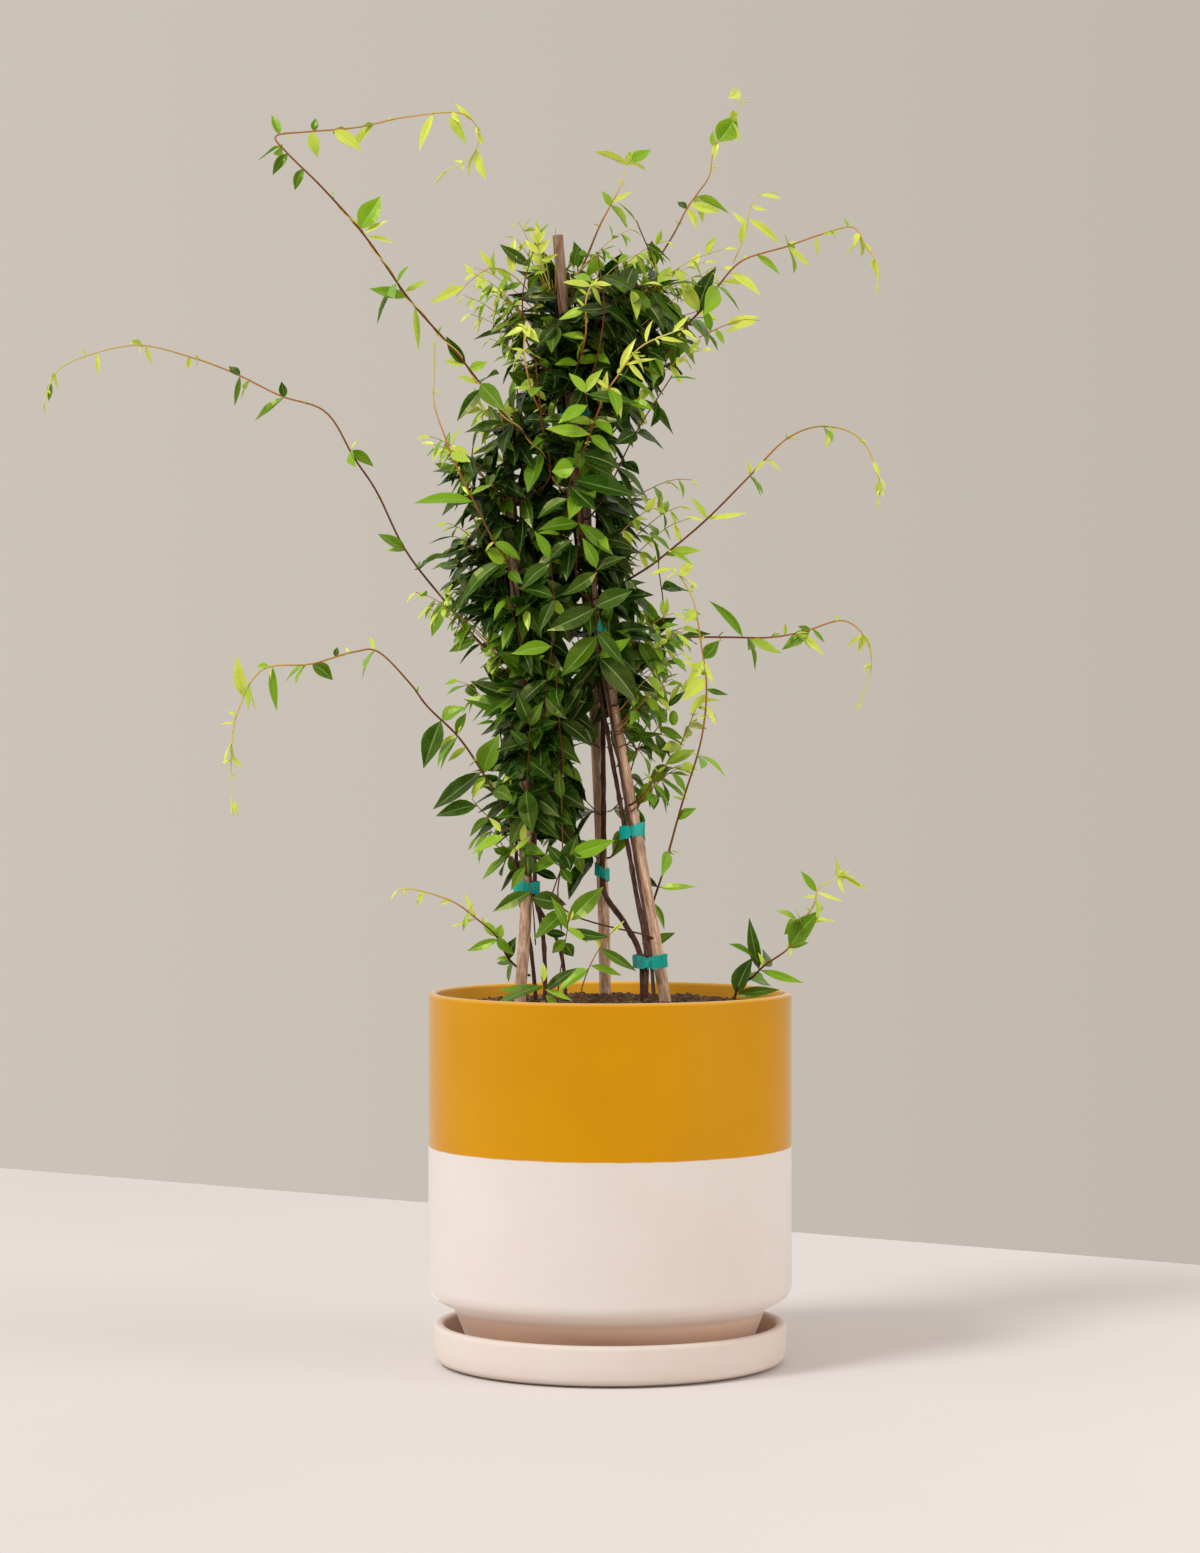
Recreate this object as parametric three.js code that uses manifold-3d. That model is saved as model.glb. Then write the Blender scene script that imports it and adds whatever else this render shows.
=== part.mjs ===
// A potted Carolina jasmine: a young climber tied to three bamboo stakes, in a two-colour ceramic
// pot that stands in its saucer. Millimetres, +Z up. The origin is the middle of the saucer's
// underside, on the surface that it stands on, and the viewer stands at -Y with +X to the right.
import * as THREE from "three";
import { mergeVertices } from "three/addons/utils/BufferGeometryUtils.js";
import Module from "manifold-3d";

const wasm = await Module();
wasm.setup();

// Driving dimensions
const POT_RADIUS = 152.5;
const POT_WALL = 7;
const RIM_Z = 311;
const SHOULDER_Z = 62;
const FOOT_Z = 47;
const FOOT_RADIUS = 131;
const FOOT_BASE_RADIUS = 115;
const POT_FLOOR = 10;
const DRAIN_RADIUS = 8;
const SAUCER_RADIUS = 148;
const SAUCER_HEIGHT = 34.5;
const SAUCER_FLOOR = 8;
const SOIL_EDGE_Z = 297;
const SOIL_MOUND = 8;
const STAKE_RADIUS = 5;
const SEAT_GAP = 0.3;
const ROUND_SIDES = 28;
const CANE_SIDES = 6;
const TRUNK_SIDES = 4;
const STEM_SIDES = 3;
const UP = new THREE.Vector3(0, 0, 1);

// Colours and finishes
const finish = (color, roughness) => new THREE.MeshStandardMaterial({ color, roughness, metalness: 0 });
const CERAMIC = finish(0xe6d6c8, 0.75);
const GLAZE = finish(0xd99a12, 0.45);
const SOIL = finish(0x3a2a1e, 1);
const BAMBOO = finish(0xb79b80, 0.6);
const BARK = finish(0x4a2f22, 0.85);
const TAPE = finish(0x12a596, 0.4);
const LEAF = finish(0x3c7a24, 0.45);
const YOUNG_LEAF = finish(0x8fb52c, 0.5);

// The three stakes: a course through hand-set points, foot first, and where the cane's joints are.
const STAKES = {
  stake_right: {
    joints: [0.3, 0.56, 0.8],
    points: [
      [68, -34, 160], [46, -32, 306], [26, -26, 422], [0, -18, 565],
      [-15, -12, 646], [-27, -6, 743], [-36, -1, 850], [-44, 4, 947],
    ],
  },
  stake_left: {
    joints: [0.36, 0.62, 0.86],
    points: [
      [-82, -32, 170], [-75, -30, 306], [-70, -26, 390], [-72, -20, 505],
      [-77, -14, 607], [-82, -8, 702], [-86, -4, 765],
    ],
  },
  stake_middle: {
    joints: [0.33, 0.55, 0.79],
    points: [
      [-2, 66, 165], [-4, 56, 300], [-6, 48, 390], [-12, 36, 530],
      [-19, 20, 680], [-23, 9, 783], [-24, 4, 850],
    ],
  },
};

// The woody stems: a free run out of the soil, then up a stake, turning round it between two angles.
const TRUNKS = {
  trunk_left_front: { radius: 2.4, stake: "stake_left", foot: [[-54, -24, 272], [-55, -24, 350]],
    climb: [395, 745], angles: [-20, -70] },
  trunk_left_back: { radius: 2, stake: "stake_left", foot: [[-36, -18, 272], [-41, -14, 345]],
    climb: [395, 735], angles: [55, 20] },
  trunk_left_outer: { radius: 2.2, stake: "stake_left", foot: [[-60, -2, 272], [-66, -8, 345]],
    climb: [400, 700], angles: [150, 185] },
  trunk_middle: { radius: 3.3, stake: "stake_middle", foot: [[28, -20, 270], [26, -16, 338], [13, 12, 367]],
    climb: [395, 840], angles: [-85, 30] },
  trunk_right: { radius: 2.8, stake: "stake_right", foot: [[28, -38, 272], [30, -36, 345]],
    climb: [400, 905], angles: [178, 130] },
  trunk_right_thin: { radius: 1.8, stake: "stake_right", foot: [[38, -50, 275], [33, -46, 350]],
    climb: [415, 860], angles: [232, 290] },
};
const TRUNK_TAPER = 0.45;
const CLIMB_STEP = 45;
const TRUNK_CLEARANCE = 1.2;

// The tape ties: what each one holds and how high its middle is.
const TOP_BUNDLE = ["stake_right", "stake_middle", "trunk_right", "trunk_middle", "trunk_right_thin"];
const TIES = {
  tie_right_low: { z: 338, holds: ["stake_right", "trunk_right", "trunk_right_thin", "trunk_middle"] },
  tie_right_mid: { z: 447, holds: ["stake_right", "trunk_right", "trunk_right_thin"] },
  tie_right_high: { z: 618, holds: ["stake_right", "trunk_right", "trunk_right_thin"] },
  tie_middle_low: { z: 410, holds: ["stake_middle", "trunk_middle"] },
  tie_left_low: { z: 400, holds: ["stake_left", "trunk_left_front", "trunk_left_back", "trunk_left_outer"] },
  tie_left_mid: { z: 504, holds: ["stake_left", "trunk_left_front", "trunk_left_back", "trunk_left_outer"] },
  tie_left_high: { z: 695, holds: ["stake_left", "trunk_left_front", "trunk_left_back"] },
  tie_top_low: { z: 756, holds: TOP_BUNDLE },
  tie_top_high: { z: 796, holds: TOP_BUNDLE },
};
const TAPE_WIDTH = 12;
const TAPE_THICKNESS = 0.8;
const TAPE_SLACK = 0.6;
const TAPE_POINTS = 6;
const TAPE_TAB = 9;
const TAPE_ROOM = 3;

// The long shoots: where each leaves a woody stem (or the soil), its course, the places of its leaf
// pairs along it from 0 to 1, and the length of its first and last leaves.
const SHOOTS = {
  shoot_upper_left: {
    trunk: "trunk_right", z: 722, leaf: [42, 24], pairs: [0.12, 0.22, 0.33, 0.52, 0.66, 0.8, 0.92],
    points: [
      [-60, -35, 765], [-90, -50, 795], [-125, -65, 840], [-165, -75, 885], [-200, -80, 935],
      [-235, -80, 975], [-265, -75, 1005], [-275, -70, 1020], [-250, -60, 1025], [-210, -50, 1030],
      [-170, -40, 1040], [-125, -30, 1045], [-110, -25, 1030], [-115, -25, 1010], [-140, -30, 995],
    ],
  },
  shoot_left: {
    trunk: "trunk_left_outer", z: 585, leaf: [32, 14], pairs: [0.14, 0.26, 0.44, 0.62, 0.78, 0.93],
    points: [
      [-110, 20, 605], [-140, 40, 640], [-175, 60, 685], [-200, 75, 735], [-220, 80, 765],
      [-245, 90, 805], [-285, 100, 820], [-325, 110, 840], [-365, 115, 855], [-410, 115, 865],
      [-455, 110, 855], [-480, 105, 840], [-490, 100, 810],
    ],
  },
  shoot_lower_left: {
    trunk: "trunk_left_front", z: 425, leaf: [40, 18], pairs: [0.1, 0.2, 0.31, 0.55, 0.7, 0.8, 0.9],
    points: [
      [-85, -40, 460], [-105, -50, 495], [-125, -60, 525], [-150, -70, 550], [-165, -75, 570],
      [-190, -80, 595], [-210, -85, 595], [-245, -90, 585], [-285, -90, 580], [-305, -90, 545],
      [-310, -90, 510], [-310, -85, 465],
    ],
  },
  shoot_low_left: {
    trunk: "trunk_left_outer", z: 325, leaf: [26, 14], pairs: [0.25, 0.42, 0.62, 0.82],
    points: [
      [-85, -15, 340], [-95, -35, 360], [-110, -60, 375], [-130, -70, 390], [-160, -80, 400],
      [-175, -85, 400],
    ],
  },
  shoot_right_arch: {
    trunk: "trunk_right_thin", z: 640, leaf: [34, 15], pairs: [0.16, 0.3, 0.5, 0.7, 0.9],
    points: [
      [30, -40, 665], [50, -50, 680], [80, -65, 705], [115, -75, 740], [145, -80, 770],
      [175, -85, 780], [205, -85, 770], [220, -80, 740], [220, -80, 720],
    ],
  },
  shoot_right_level: {
    trunk: "trunk_middle", z: 600, leaf: [36, 15], pairs: [0.16, 0.3, 0.44, 0.58, 0.78],
    points: [
      [30, 10, 610], [60, 30, 610], [105, 50, 610], [135, 60, 610], [165, 70, 615],
      [200, 80, 625], [220, 85, 610], [225, 85, 585], [215, 85, 555],
    ],
  },
  shoot_climbing: {
    foot: [40, 0, 275], leaf: [30, 24], pairs: [0.33, 0.48, 0.62, 0.78, 0.92],
    points: [
      [35, 0, 345], [35, -10, 380], [45, -25, 415], [60, -35, 470], [75, -45, 520],
      [80, -50, 565], [75, -50, 605], [70, -50, 635], [60, -50, 655], [50, -50, 665],
    ],
  },
  shoot_top: {
    trunk: "trunk_right", z: 888, leaf: [24, 30], pairs: [0.35, 0.68, 0.97],
    points: [
      [-20, 20, 930], [-10, 25, 955], [0, 30, 975], [10, 35, 995], [15, 40, 1015],
    ],
  },
  shoot_top_right: {
    trunk: "trunk_middle", z: 838, leaf: [34, 34], pairs: [0.16, 0.34, 0.62, 0.88],
    points: [
      [10, 30, 880], [25, 35, 905], [40, 45, 930], [55, 50, 955], [65, 55, 975],
      [75, 60, 990], [85, 60, 1005], [90, 60, 1030], [110, 65, 1060], [110, 60, 1080],
    ],
  },
  shoot_right_top: {
    trunk: "trunk_middle", z: 812, leaf: [50, 18], pairs: [0.12, 0.22, 0.33, 0.46, 0.62, 0.8],
    points: [
      [20, 0, 830], [45, -10, 845], [65, -20, 870], [80, -30, 885], [90, -40, 900],
      [110, -50, 920], [145, -60, 930], [175, -65, 940], [200, -70, 945], [210, -70, 930],
      [220, -70, 915], [220, -70, 900],
    ],
  },
  shoot_left_riser: {
    trunk: "trunk_left_front", z: 628, leaf: [30, 16], pairs: [0.2, 0.34, 0.48, 0.62],
    points: [
      [-85, -50, 670], [-95, -55, 685], [-110, -65, 715], [-125, -70, 745], [-135, -70, 770],
      [-145, -65, 800], [-145, -60, 830], [-145, -50, 850],
    ],
  },
  shoot_left_inner: {
    trunk: "trunk_left_back", z: 708, leaf: [28, 20], pairs: [0.4, 0.62, 0.82, 0.97],
    points: [
      [-95, 20, 710], [-100, 30, 735], [-105, 40, 765], [-110, 40, 810],
    ],
  },
  shoot_front: {
    trunk: "trunk_right_thin", z: 735, leaf: [34, 24], pairs: [0.28, 0.46, 0.64, 0.82],
    points: [
      [-25, -45, 755], [-15, -60, 780], [-5, -70, 805], [5, -80, 820], [25, -85, 845],
      [60, -90, 860],
    ],
  },
  shoot_front_top: {
    trunk: "trunk_right_thin", z: 825, leaf: [30, 22], pairs: [0.35, 0.55, 0.75, 0.97],
    points: [
      [-25, -40, 840], [-20, -55, 860], [-20, -60, 885], [-15, -60, 900],
    ],
  },
  shoot_front_left: {
    trunk: "trunk_right", z: 785, leaf: [32, 20], pairs: [0.35, 0.6, 0.82, 0.98],
    points: [
      [-60, -45, 800], [-70, -65, 835], [-70, -70, 865],
    ],
  },
  shoot_pot_right: {
    foot: [106, -10, 275], leaf: [48, 24], pairs: [0.22, 0.36, 0.62, 0.8, 0.97],
    points: [
      [105, -10, 310], [120, -15, 325], [130, -20, 335], [150, -25, 350], [160, -25, 370],
      [170, -25, 385], [175, -25, 400], [195, -25, 410],
    ],
  },
  shoot_right_cluster: {
    trunk: "trunk_right_thin", z: 468, leaf: [36, 26], pairs: [0.42, 0.58, 0.74, 0.86, 0.98],
    points: [
      [30, -40, 480], [40, -10, 495], [55, 20, 510], [65, 25, 530], [75, 25, 555],
    ],
  },
};
const SHOOT_RADIUS = [1.5, 0.8];

// The outline of the leafy mass: height, then how far it reaches left, right, and to front and back.
const OUTLINE = [
  [330, -95, 20, 70], [400, -110, 10, 60], [450, -125, 45, 65], [510, -130, 85, 75], [570, -115, 85, 80],
  [630, -140, 80, 85], [700, -165, 50, 85], [755, -150, 50, 80], [800, -115, 80, 85], [850, -110, 105, 90],
  [900, -105, 85, 80], [945, -80, 45, 60],
];
const SPRAYS = 20;
const SPRAY_HEIGHTS = [325, 850];
const SPRAY_RADIUS = [1.3, 0.8];
const SPRAY_LEAF = 44;
const SPRAY_PAIRS = [0.34, 0.48, 0.62, 0.76, 0.9];
const LOW_SPRAY_PAIRS = [0.5, 0.75];
const LOW_SPRAY_Z = 430;
const SPRAY_COURSE = [[24, 0.6], [70, 0.85], [118, 1]];
const GOLDEN_ANGLE = 137.5;
const FIRST_ANGLE = -100;

// A blade: stations from stalk to tip, each with its share of the half width and its thickness.
const BLADE = [[0, 0, 0], [0.06, 0.2, 1.4], [0.42, 1, 1.3], [0.76, 0.62, 1], [1, 0, 0]];
const SMALL_BLADE = [[0, 0, 0], [0.08, 0.24, 1.4], [0.5, 1, 1.2], [1, 0, 0]];
const SMALL_LENGTH = 26;
const BLADE_ROOT = 0.4;
const HALF_WIDTH = 0.22;
const FULL_SIZE = 32;

// How blades stand: the angle from their stem, how far they hang and arch, how much they face outward,
// the turn of each pair against the last one, and the further turns tried until a blade is clear.
const SPREAD = [48, 70];
const DROOP = [0.4, 1.3];
const ARCH = [0.08, 0.22];
const FACING = 1.2;
const STEM_ROOM = 2;
const TWIG_ROOM = 3;
const BLADE_ROOM = 0.058;
const FIRST_SEED = 977;
const SEED_STEP = 131;
const PAIR_TURNS = [0, 1.1, -1.1];
const ROLLS = [0, 0.5, -0.5, 1, -1, 1.5, -1.5];

const degrees = THREE.MathUtils.degToRad;
const vector = (p) => new THREE.Vector3(...p);
const mix = (a, b, t) => a + (b - a) * t;

// A repeatable run of numbers from 0 to 1.
function draws(seed) {
  let state = seed;
  return () => {
    state = (state * 16807) % 2147483647;
    return state / 2147483647;
  };
}

// A smooth curve through points.
const courseThrough = (points) => new THREE.CatmullRomCurve3(points, false, "catmullrom", 0.5);

// The middle and the radius of a rising stem at a height, between its rings.
function sectionAt({ course, places, radiusAt }, z) {
  const rings = places.map((t) => ({ at: course.getPoint(t), radius: radiusAt(t) }));
  const above = rings.findIndex(({ at }, i) => i > 0 && at.z >= z);
  const [low, high] = above > 0 ? [rings[above - 1], rings[above]] : rings.slice(-2);
  const t = (z - low.at.z) / (high.at.z - low.at.z);
  return { at: low.at.lerp(high.at, t), radius: mix(low.radius, high.radius, t) };
}

// Solids

// A closed geometry with its doubled vertices merged, as a solid.
function solidOf(geometry) {
  geometry.deleteAttribute("normal");
  geometry.deleteAttribute("uv");
  const merged = mergeVertices(geometry, 1e-4);
  const vertProperties = merged.attributes.position.array;
  const triVerts = new Uint32Array(merged.index.array);
  return new wasm.Manifold(new wasm.Mesh({ numProp: 3, vertProperties, triVerts }));
}

// A solid's largest body as a geometry, without loose scraps.
function geometryOf(solid) {
  const largest = solid.decompose().sort((a, b) => b.volume() - a.volume())[0];
  const mesh = largest.getMesh();
  return new THREE.BufferGeometry()
    .setAttribute("position", new THREE.BufferAttribute(new Float32Array(mesh.vertProperties), 3))
    .setIndex(new THREE.BufferAttribute(new Uint32Array(mesh.triVerts), 1));
}

// A closed tube along a course, with rings at the given places from 0 to 1 and a radius for each place.
// It can be made wider all round, and longer at its foot, for the hole that the same stem stands in.
function tube({ course, places, radiusAt, sides }, widen = 0) {
  const geometry = new THREE.CylinderGeometry(1, 1, 1, sides, places.length - 1);
  const position = geometry.attributes.position;
  const frames = places.map((t) => ({ at: course.getPoint(t), ahead: course.getTangent(t) }));
  let across = new THREE.Vector3(0, 1, 0);
  for (const frame of frames) {
    across = across.clone().addScaledVector(frame.ahead, -across.dot(frame.ahead)).normalize();
    frame.across = across;
    frame.beside = across.clone().cross(frame.ahead);
  }
  frames[0].at.addScaledVector(frames[0].ahead, -widen);
  for (let i = 0; i < position.count; i++) {
    const ring = Math.round((position.getY(i) + 0.5) * (places.length - 1));
    const { at, across: a, beside: b } = frames[ring];
    const radius = radiusAt(places[ring]) + widen;
    const v = at.clone()
      .addScaledVector(b, -position.getX(i) * radius)
      .addScaledVector(a, position.getZ(i) * radius);
    position.setXYZ(i, v.x, v.y, v.z);
  }
  return solidOf(geometry);
}

// Evenly spaced places from 0 to 1.
const evenly = (count) => Array.from({ length: count + 1 }, (_, i) => i / count);

// A turned solid: its profile is radius and height, outside first.
function turned(profile, sides) {
  const points = profile.map(([r, z]) => new THREE.Vector2(r, z));
  return solidOf(new THREE.LatheGeometry(points, sides).rotateX(Math.PI / 2));
}

// A leaf blade: a three-sided ball drawn out along an arched midrib, flat above and keeled below.
function blade({ base, along, face, length, half, bend }) {
  const stations = length < SMALL_LENGTH ? SMALL_BLADE : BLADE;
  const rows = stations.length - 1;
  const geometry = new THREE.SphereGeometry(1, 3, rows);
  const position = geometry.attributes.position;
  const side = face.clone().cross(along);
  const size = Math.max(0.75, Math.min(1, length / FULL_SIZE));
  for (let i = 0; i < position.count; i++) {
    const polar = Math.acos(THREE.MathUtils.clamp(position.getY(i), -1, 1));
    const [s, width, thick] = stations[rows - Math.round((polar / Math.PI) * rows)];
    const edge = Math.abs(position.getZ(i)) < 1e-6 ? 0 : Math.sign(position.getZ(i));
    const v = base.clone().addScaledVector(along, length * s)
      .addScaledVector(face, (edge ? 0 : -thick * size) - bend * length * s * s)
      .addScaledVector(side, edge * half * width);
    position.setXYZ(i, v.x, v.y, v.z);
  }
  return solidOf(geometry);
}

// Room to grow: everything placed so far, as balls with an owner.
const placed = [];

function place(points, radius, owner) {
  for (const point of points) placed.push({ point, radius, owner });
}

function isClear(points, radius, isIgnored = () => false) {
  return placed.every((ball) => isIgnored(ball.owner)
    || points.every((point) => point.distanceToSquared(ball.point) > (radius + ball.radius) ** 2));
}

// Points along a course about 5 mm apart, from a given place on.
function along(course, from = 0) {
  const rough = evenly(30).map((t) => course.getPoint(mix(from, 1, t)));
  const length = rough.slice(1).reduce((sum, point, i) => sum + point.distanceTo(rough[i]), 0);
  return evenly(Math.ceil(length / 5)).map((t) => course.getPoint(mix(from, 1, t)));
}

// Points spread over a blade.
function bladePoints({ base, along: way, face, length, half, bend }) {
  const side = face.clone().cross(way);
  const points = [];
  for (const [s, width] of [[0.3, 0.8], [0.5, 0.95], [0.7, 0.7], [0.85, 0.4], [1, 0]]) {
    for (const a of width ? [-0.75, 0, 0.75] : [0]) {
      points.push(base.clone().addScaledVector(way, length * s)
        .addScaledVector(face, -bend * length * s * s)
        .addScaledVector(side, half * width * a));
    }
  }
  return points;
}

// Growing

// The middle of the leafy mass at a height, and its reach in a direction.
function outlineAt(z) {
  const above = Math.max(1, OUTLINE.findIndex((row) => row[0] >= z));
  const [low, high] = [OUTLINE[above - 1], OUTLINE[above]];
  const t = (z - low[0]) / (high[0] - low[0]);
  return low.map((value, i) => mix(value, high[i], t));
}

// Where the column of stakes stands at a height.
const columnX = (z) => mix(-30, -38, (z - 330) / 600);

// The middle of a stem between its rings, at a place from 0 to 1.
function middleOf({ course, places }, t) {
  const next = Math.max(1, places.findIndex((place) => place >= t));
  const [before, after] = [places[next - 1], places[next]];
  return course.getPoint(before).lerp(course.getPoint(after), (t - before) / (after - before));
}

// True above the rim, or inside it and above the soil.
function isOffPot(point) {
  const isInside = Math.hypot(point.x, point.y) < POT_RADIUS - POT_WALL - 6;
  return point.z > RIM_Z + 3 || (isInside && point.z > SOIL_EDGE_Z + SOIL_MOUND + 6);
}

// One leaf of a pair, turned about its stem until it is clear of all else; null if it never is.
function grownLeaf(name, stem, t, side, turn, length, draw) {
  const spread = degrees(mix(...SPREAD, draw()));
  const droop = mix(...DROOP, draw());
  const bend = mix(...ARCH, draw());
  const half = length * HALF_WIDTH * (0.9 + 0.25 * draw());
  const lean = turn + (draw() - 0.5) * 0.6;
  const at = middleOf(stem, t);
  const ahead = stem.course.getTangent(t);
  const outward = new THREE.Vector3(at.x - columnX(at.z), at.y, 0).normalize();
  const across = ahead.clone().cross(Math.abs(ahead.z) < 0.85 ? UP : outward).normalize();
  const lift = across.clone().cross(ahead);
  for (const roll of ROLLS) {
    const way = ahead.clone().multiplyScalar(Math.cos(side ? spread : 0))
      .addScaledVector(across, side * Math.cos(roll + lean) * Math.sin(spread))
      .addScaledVector(lift, Math.sin(roll + lean) * Math.sin(side ? spread : 0.4));
    way.z -= droop;
    way.normalize();
    const face = UP.clone().addScaledVector(outward, FACING);
    face.addScaledVector(way, -face.dot(way)).normalize();
    const leaf = { base: at.clone().addScaledVector(way, -BLADE_ROOT), along: way, face, length, half, bend };
    const points = bladePoints(leaf);
    const room = BLADE_ROOM * length;
    if (points.every(isOffPot) && isClear(points, room, (owner) => owner === name)) {
      place(points, room, "blade");
      return leaf;
    }
  }
  return null;
}

// The leaves of a stem: pairs at their places, and one at the tip.
function grownLeaves(name, stem, seed) {
  const draw = draws(seed);
  const { pairs, leaf: [first, last] } = stem;
  const leaves = [];
  for (const [i, t] of pairs.entries()) {
    for (const side of [1, -1]) {
      const length = mix(first, last, t) * (0.86 + 0.28 * draw());
      const leaf = grownLeaf(name, stem, Math.min(t, 0.985), side, PAIR_TURNS[i % 3], length, draw);
      if (leaf) leaves.push(leaf);
    }
  }
  const tip = grownLeaf(name, stem, 0.99, 0, 0, last * 0.8, draw);
  if (tip) leaves.push(tip);
  return leaves;
}

// Where a side shoot meets its woody stem: just clear of the bark, on the side that it leaves by.
function leaving(trunk, z, towards, radius) {
  const { at: centre, radius: bark } = sectionAt(trunks[trunk], z);
  const way = new THREE.Vector3(towards.x - centre.x, towards.y - centre.y, 0).normalize();
  const off = bark + 0.25 + 0.3 * radius;
  return [centre.clone().addScaledVector(way, off), centre.clone().addScaledVector(way, off + 6).setZ(z + 3)];
}

// Stakes and woody stems

const stakes = {};
for (const [name, { points, joints }] of Object.entries(STAKES)) {
  const course = courseThrough(points.map(vector));
  const rings = joints.flatMap((t) => [t - 0.012, t, t + 0.012]);
  const between = evenly(8).filter((t) => joints.every((joint) => Math.abs(t - joint) > 0.03));
  const places = [...between, ...rings].sort((a, b) => a - b);
  const radiusAt = (t) => STAKE_RADIUS * mix(1, 0.9, t) * (joints.includes(t) ? 1.14 : 1);
  stakes[name] = { course, places, radiusAt, sides: CANE_SIDES };
  place(along(course), STAKE_RADIUS + STEM_ROOM, name);
}

const trunks = {};
for (const [name, { radius, stake, foot, climb, angles }] of Object.entries(TRUNKS)) {
  const points = foot.map(vector);
  const steps = Math.round((climb[1] - climb[0]) / CLIMB_STEP);
  const off = STAKE_RADIUS + radius + TRUNK_CLEARANCE;
  for (let i = 0; i <= steps; i++) {
    const angle = degrees(mix(angles[0], angles[1], i / steps));
    const { at } = sectionAt(stakes[stake], mix(climb[0], climb[1], i / steps));
    points.push(at.add(new THREE.Vector3(off * Math.cos(angle), off * Math.sin(angle), 0)));
  }
  const course = courseThrough(points);
  const radiusAt = (t) => radius * mix(1, TRUNK_TAPER, t);
  trunks[name] = { course, places: evenly(points.length - 1), radiusAt, sides: TRUNK_SIDES, top: climb[1] };
  place(along(course), radius + STEM_ROOM, name);
}

// Ties

// The loop round what a tie holds, widened by an amount: the corners between its straight sides.
function loopRound(holds, z, widen) {
  const circles = holds.flatMap((name) => [-0.5, 0, 0.5].map((share) =>
    sectionAt(stakes[name] ?? trunks[name], z + share * TAPE_WIDTH)));
  const turn = (2 * Math.PI) / TAPE_POINTS;
  const reach = (angle) => Math.max(...circles.map(({ at, radius }) =>
    at.x * Math.cos(angle) + at.y * Math.sin(angle) + radius + widen));
  return Array.from({ length: TAPE_POINTS }, (_, i) => {
    const [a, b] = [i * turn, (i + 1) * turn];
    const x = (reach(a) * Math.sin(b) - reach(b) * Math.sin(a)) / Math.sin(turn);
    const y = (reach(b) * Math.cos(a) - reach(a) * Math.cos(b)) / Math.sin(turn);
    return new THREE.Vector2(x, y);
  });
}

for (const [name, { z, holds }] of Object.entries(TIES)) {
  const loop = loopRound(holds, z, TAPE_SLACK);
  for (const share of [-0.5, 0, 0.5]) {
    place(loop.map(({ x, y }) => new THREE.Vector3(x, y, z + share * TAPE_WIDTH)), TAPE_ROOM, name);
  }
}

function tie(holds, z) {
  const outer = loopRound(holds, z, TAPE_SLACK + TAPE_THICKNESS);
  const shape = new THREE.Shape(outer);
  shape.holes.push(new THREE.Path(loopRound(holds, z, TAPE_SLACK)));
  const options = { depth: TAPE_WIDTH, bevelEnabled: false };
  const band = solidOf(new THREE.ExtrudeGeometry(shape, options).translate(0, 0, z - TAPE_WIDTH / 2));
  const front = outer.reduce((best, p) => (p.y < best.y ? p : best));
  const tab = new THREE.BoxGeometry(1.8, TAPE_TAB, TAPE_WIDTH - 1);
  return band.add(solidOf(tab.translate(front.x, front.y + 0.7 - TAPE_TAB / 2, z)));
}

// The courses of the long shoots, then of the leafy sprays, which keep clear of them.
const stems = {};
for (const [name, { trunk, z, foot, points, pairs, leaf }] of Object.entries(SHOOTS)) {
  const route = points.map(vector);
  const start = foot ? [vector(foot)] : leaving(trunk, z, route[0], SHOOT_RADIUS[0]);
  const course = courseThrough([...start, ...route]);
  const places = evenly(Math.max(5, route.length));
  stems[name] = { course, places, radiusAt: (t) => mix(...SHOOT_RADIUS, t), sides: STEM_SIDES, pairs, leaf };
  place(along(course), TWIG_ROOM, name);
}

// A spray's stem: out from the nearest bark, then up inside the outline.
function grownTwig(z, angle) {
  const way = new THREE.Vector3(Math.cos(angle), Math.sin(angle), 0);
  const nearest = Object.entries(trunks)
    .filter(([, trunk]) => z < trunk.top)
    .map(([name, trunk]) => ({ name, at: sectionAt(trunk, z).at }))
    .sort((a, b) => b.at.dot(way) - a.at.dot(way))[0];
  const start = leaving(nearest.name, z, nearest.at.clone().add(way), SPRAY_RADIUS[0]);
  const from = start[0].clone().setX(start[0].x - columnX(z)).dot(way);
  const rising = SPRAY_COURSE.map(([rise, share]) => {
    const height = Math.min(z + rise, OUTLINE.at(-1)[0]);
    const [, left, right, depth] = outlineAt(height);
    const reach = Math.hypot(((way.x > 0 ? right : left) - columnX(height)) * way.x, depth * way.y);
    const out = Math.max(from + 12 * share, share * (reach - SPRAY_LEAF / 2));
    return way.clone().multiplyScalar(out).add(new THREE.Vector3(columnX(height), 0, z + rise));
  });
  return courseThrough([...start, ...rising]);
}

// A height moved up past a tie that it would meet.
function clearOfTies(z) {
  const tie = Object.values(TIES).find((band) => z > band.z - 2 * TAPE_WIDTH && z < band.z + TAPE_WIDTH);
  return tie ? tie.z + TAPE_WIDTH : z;
}

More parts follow.
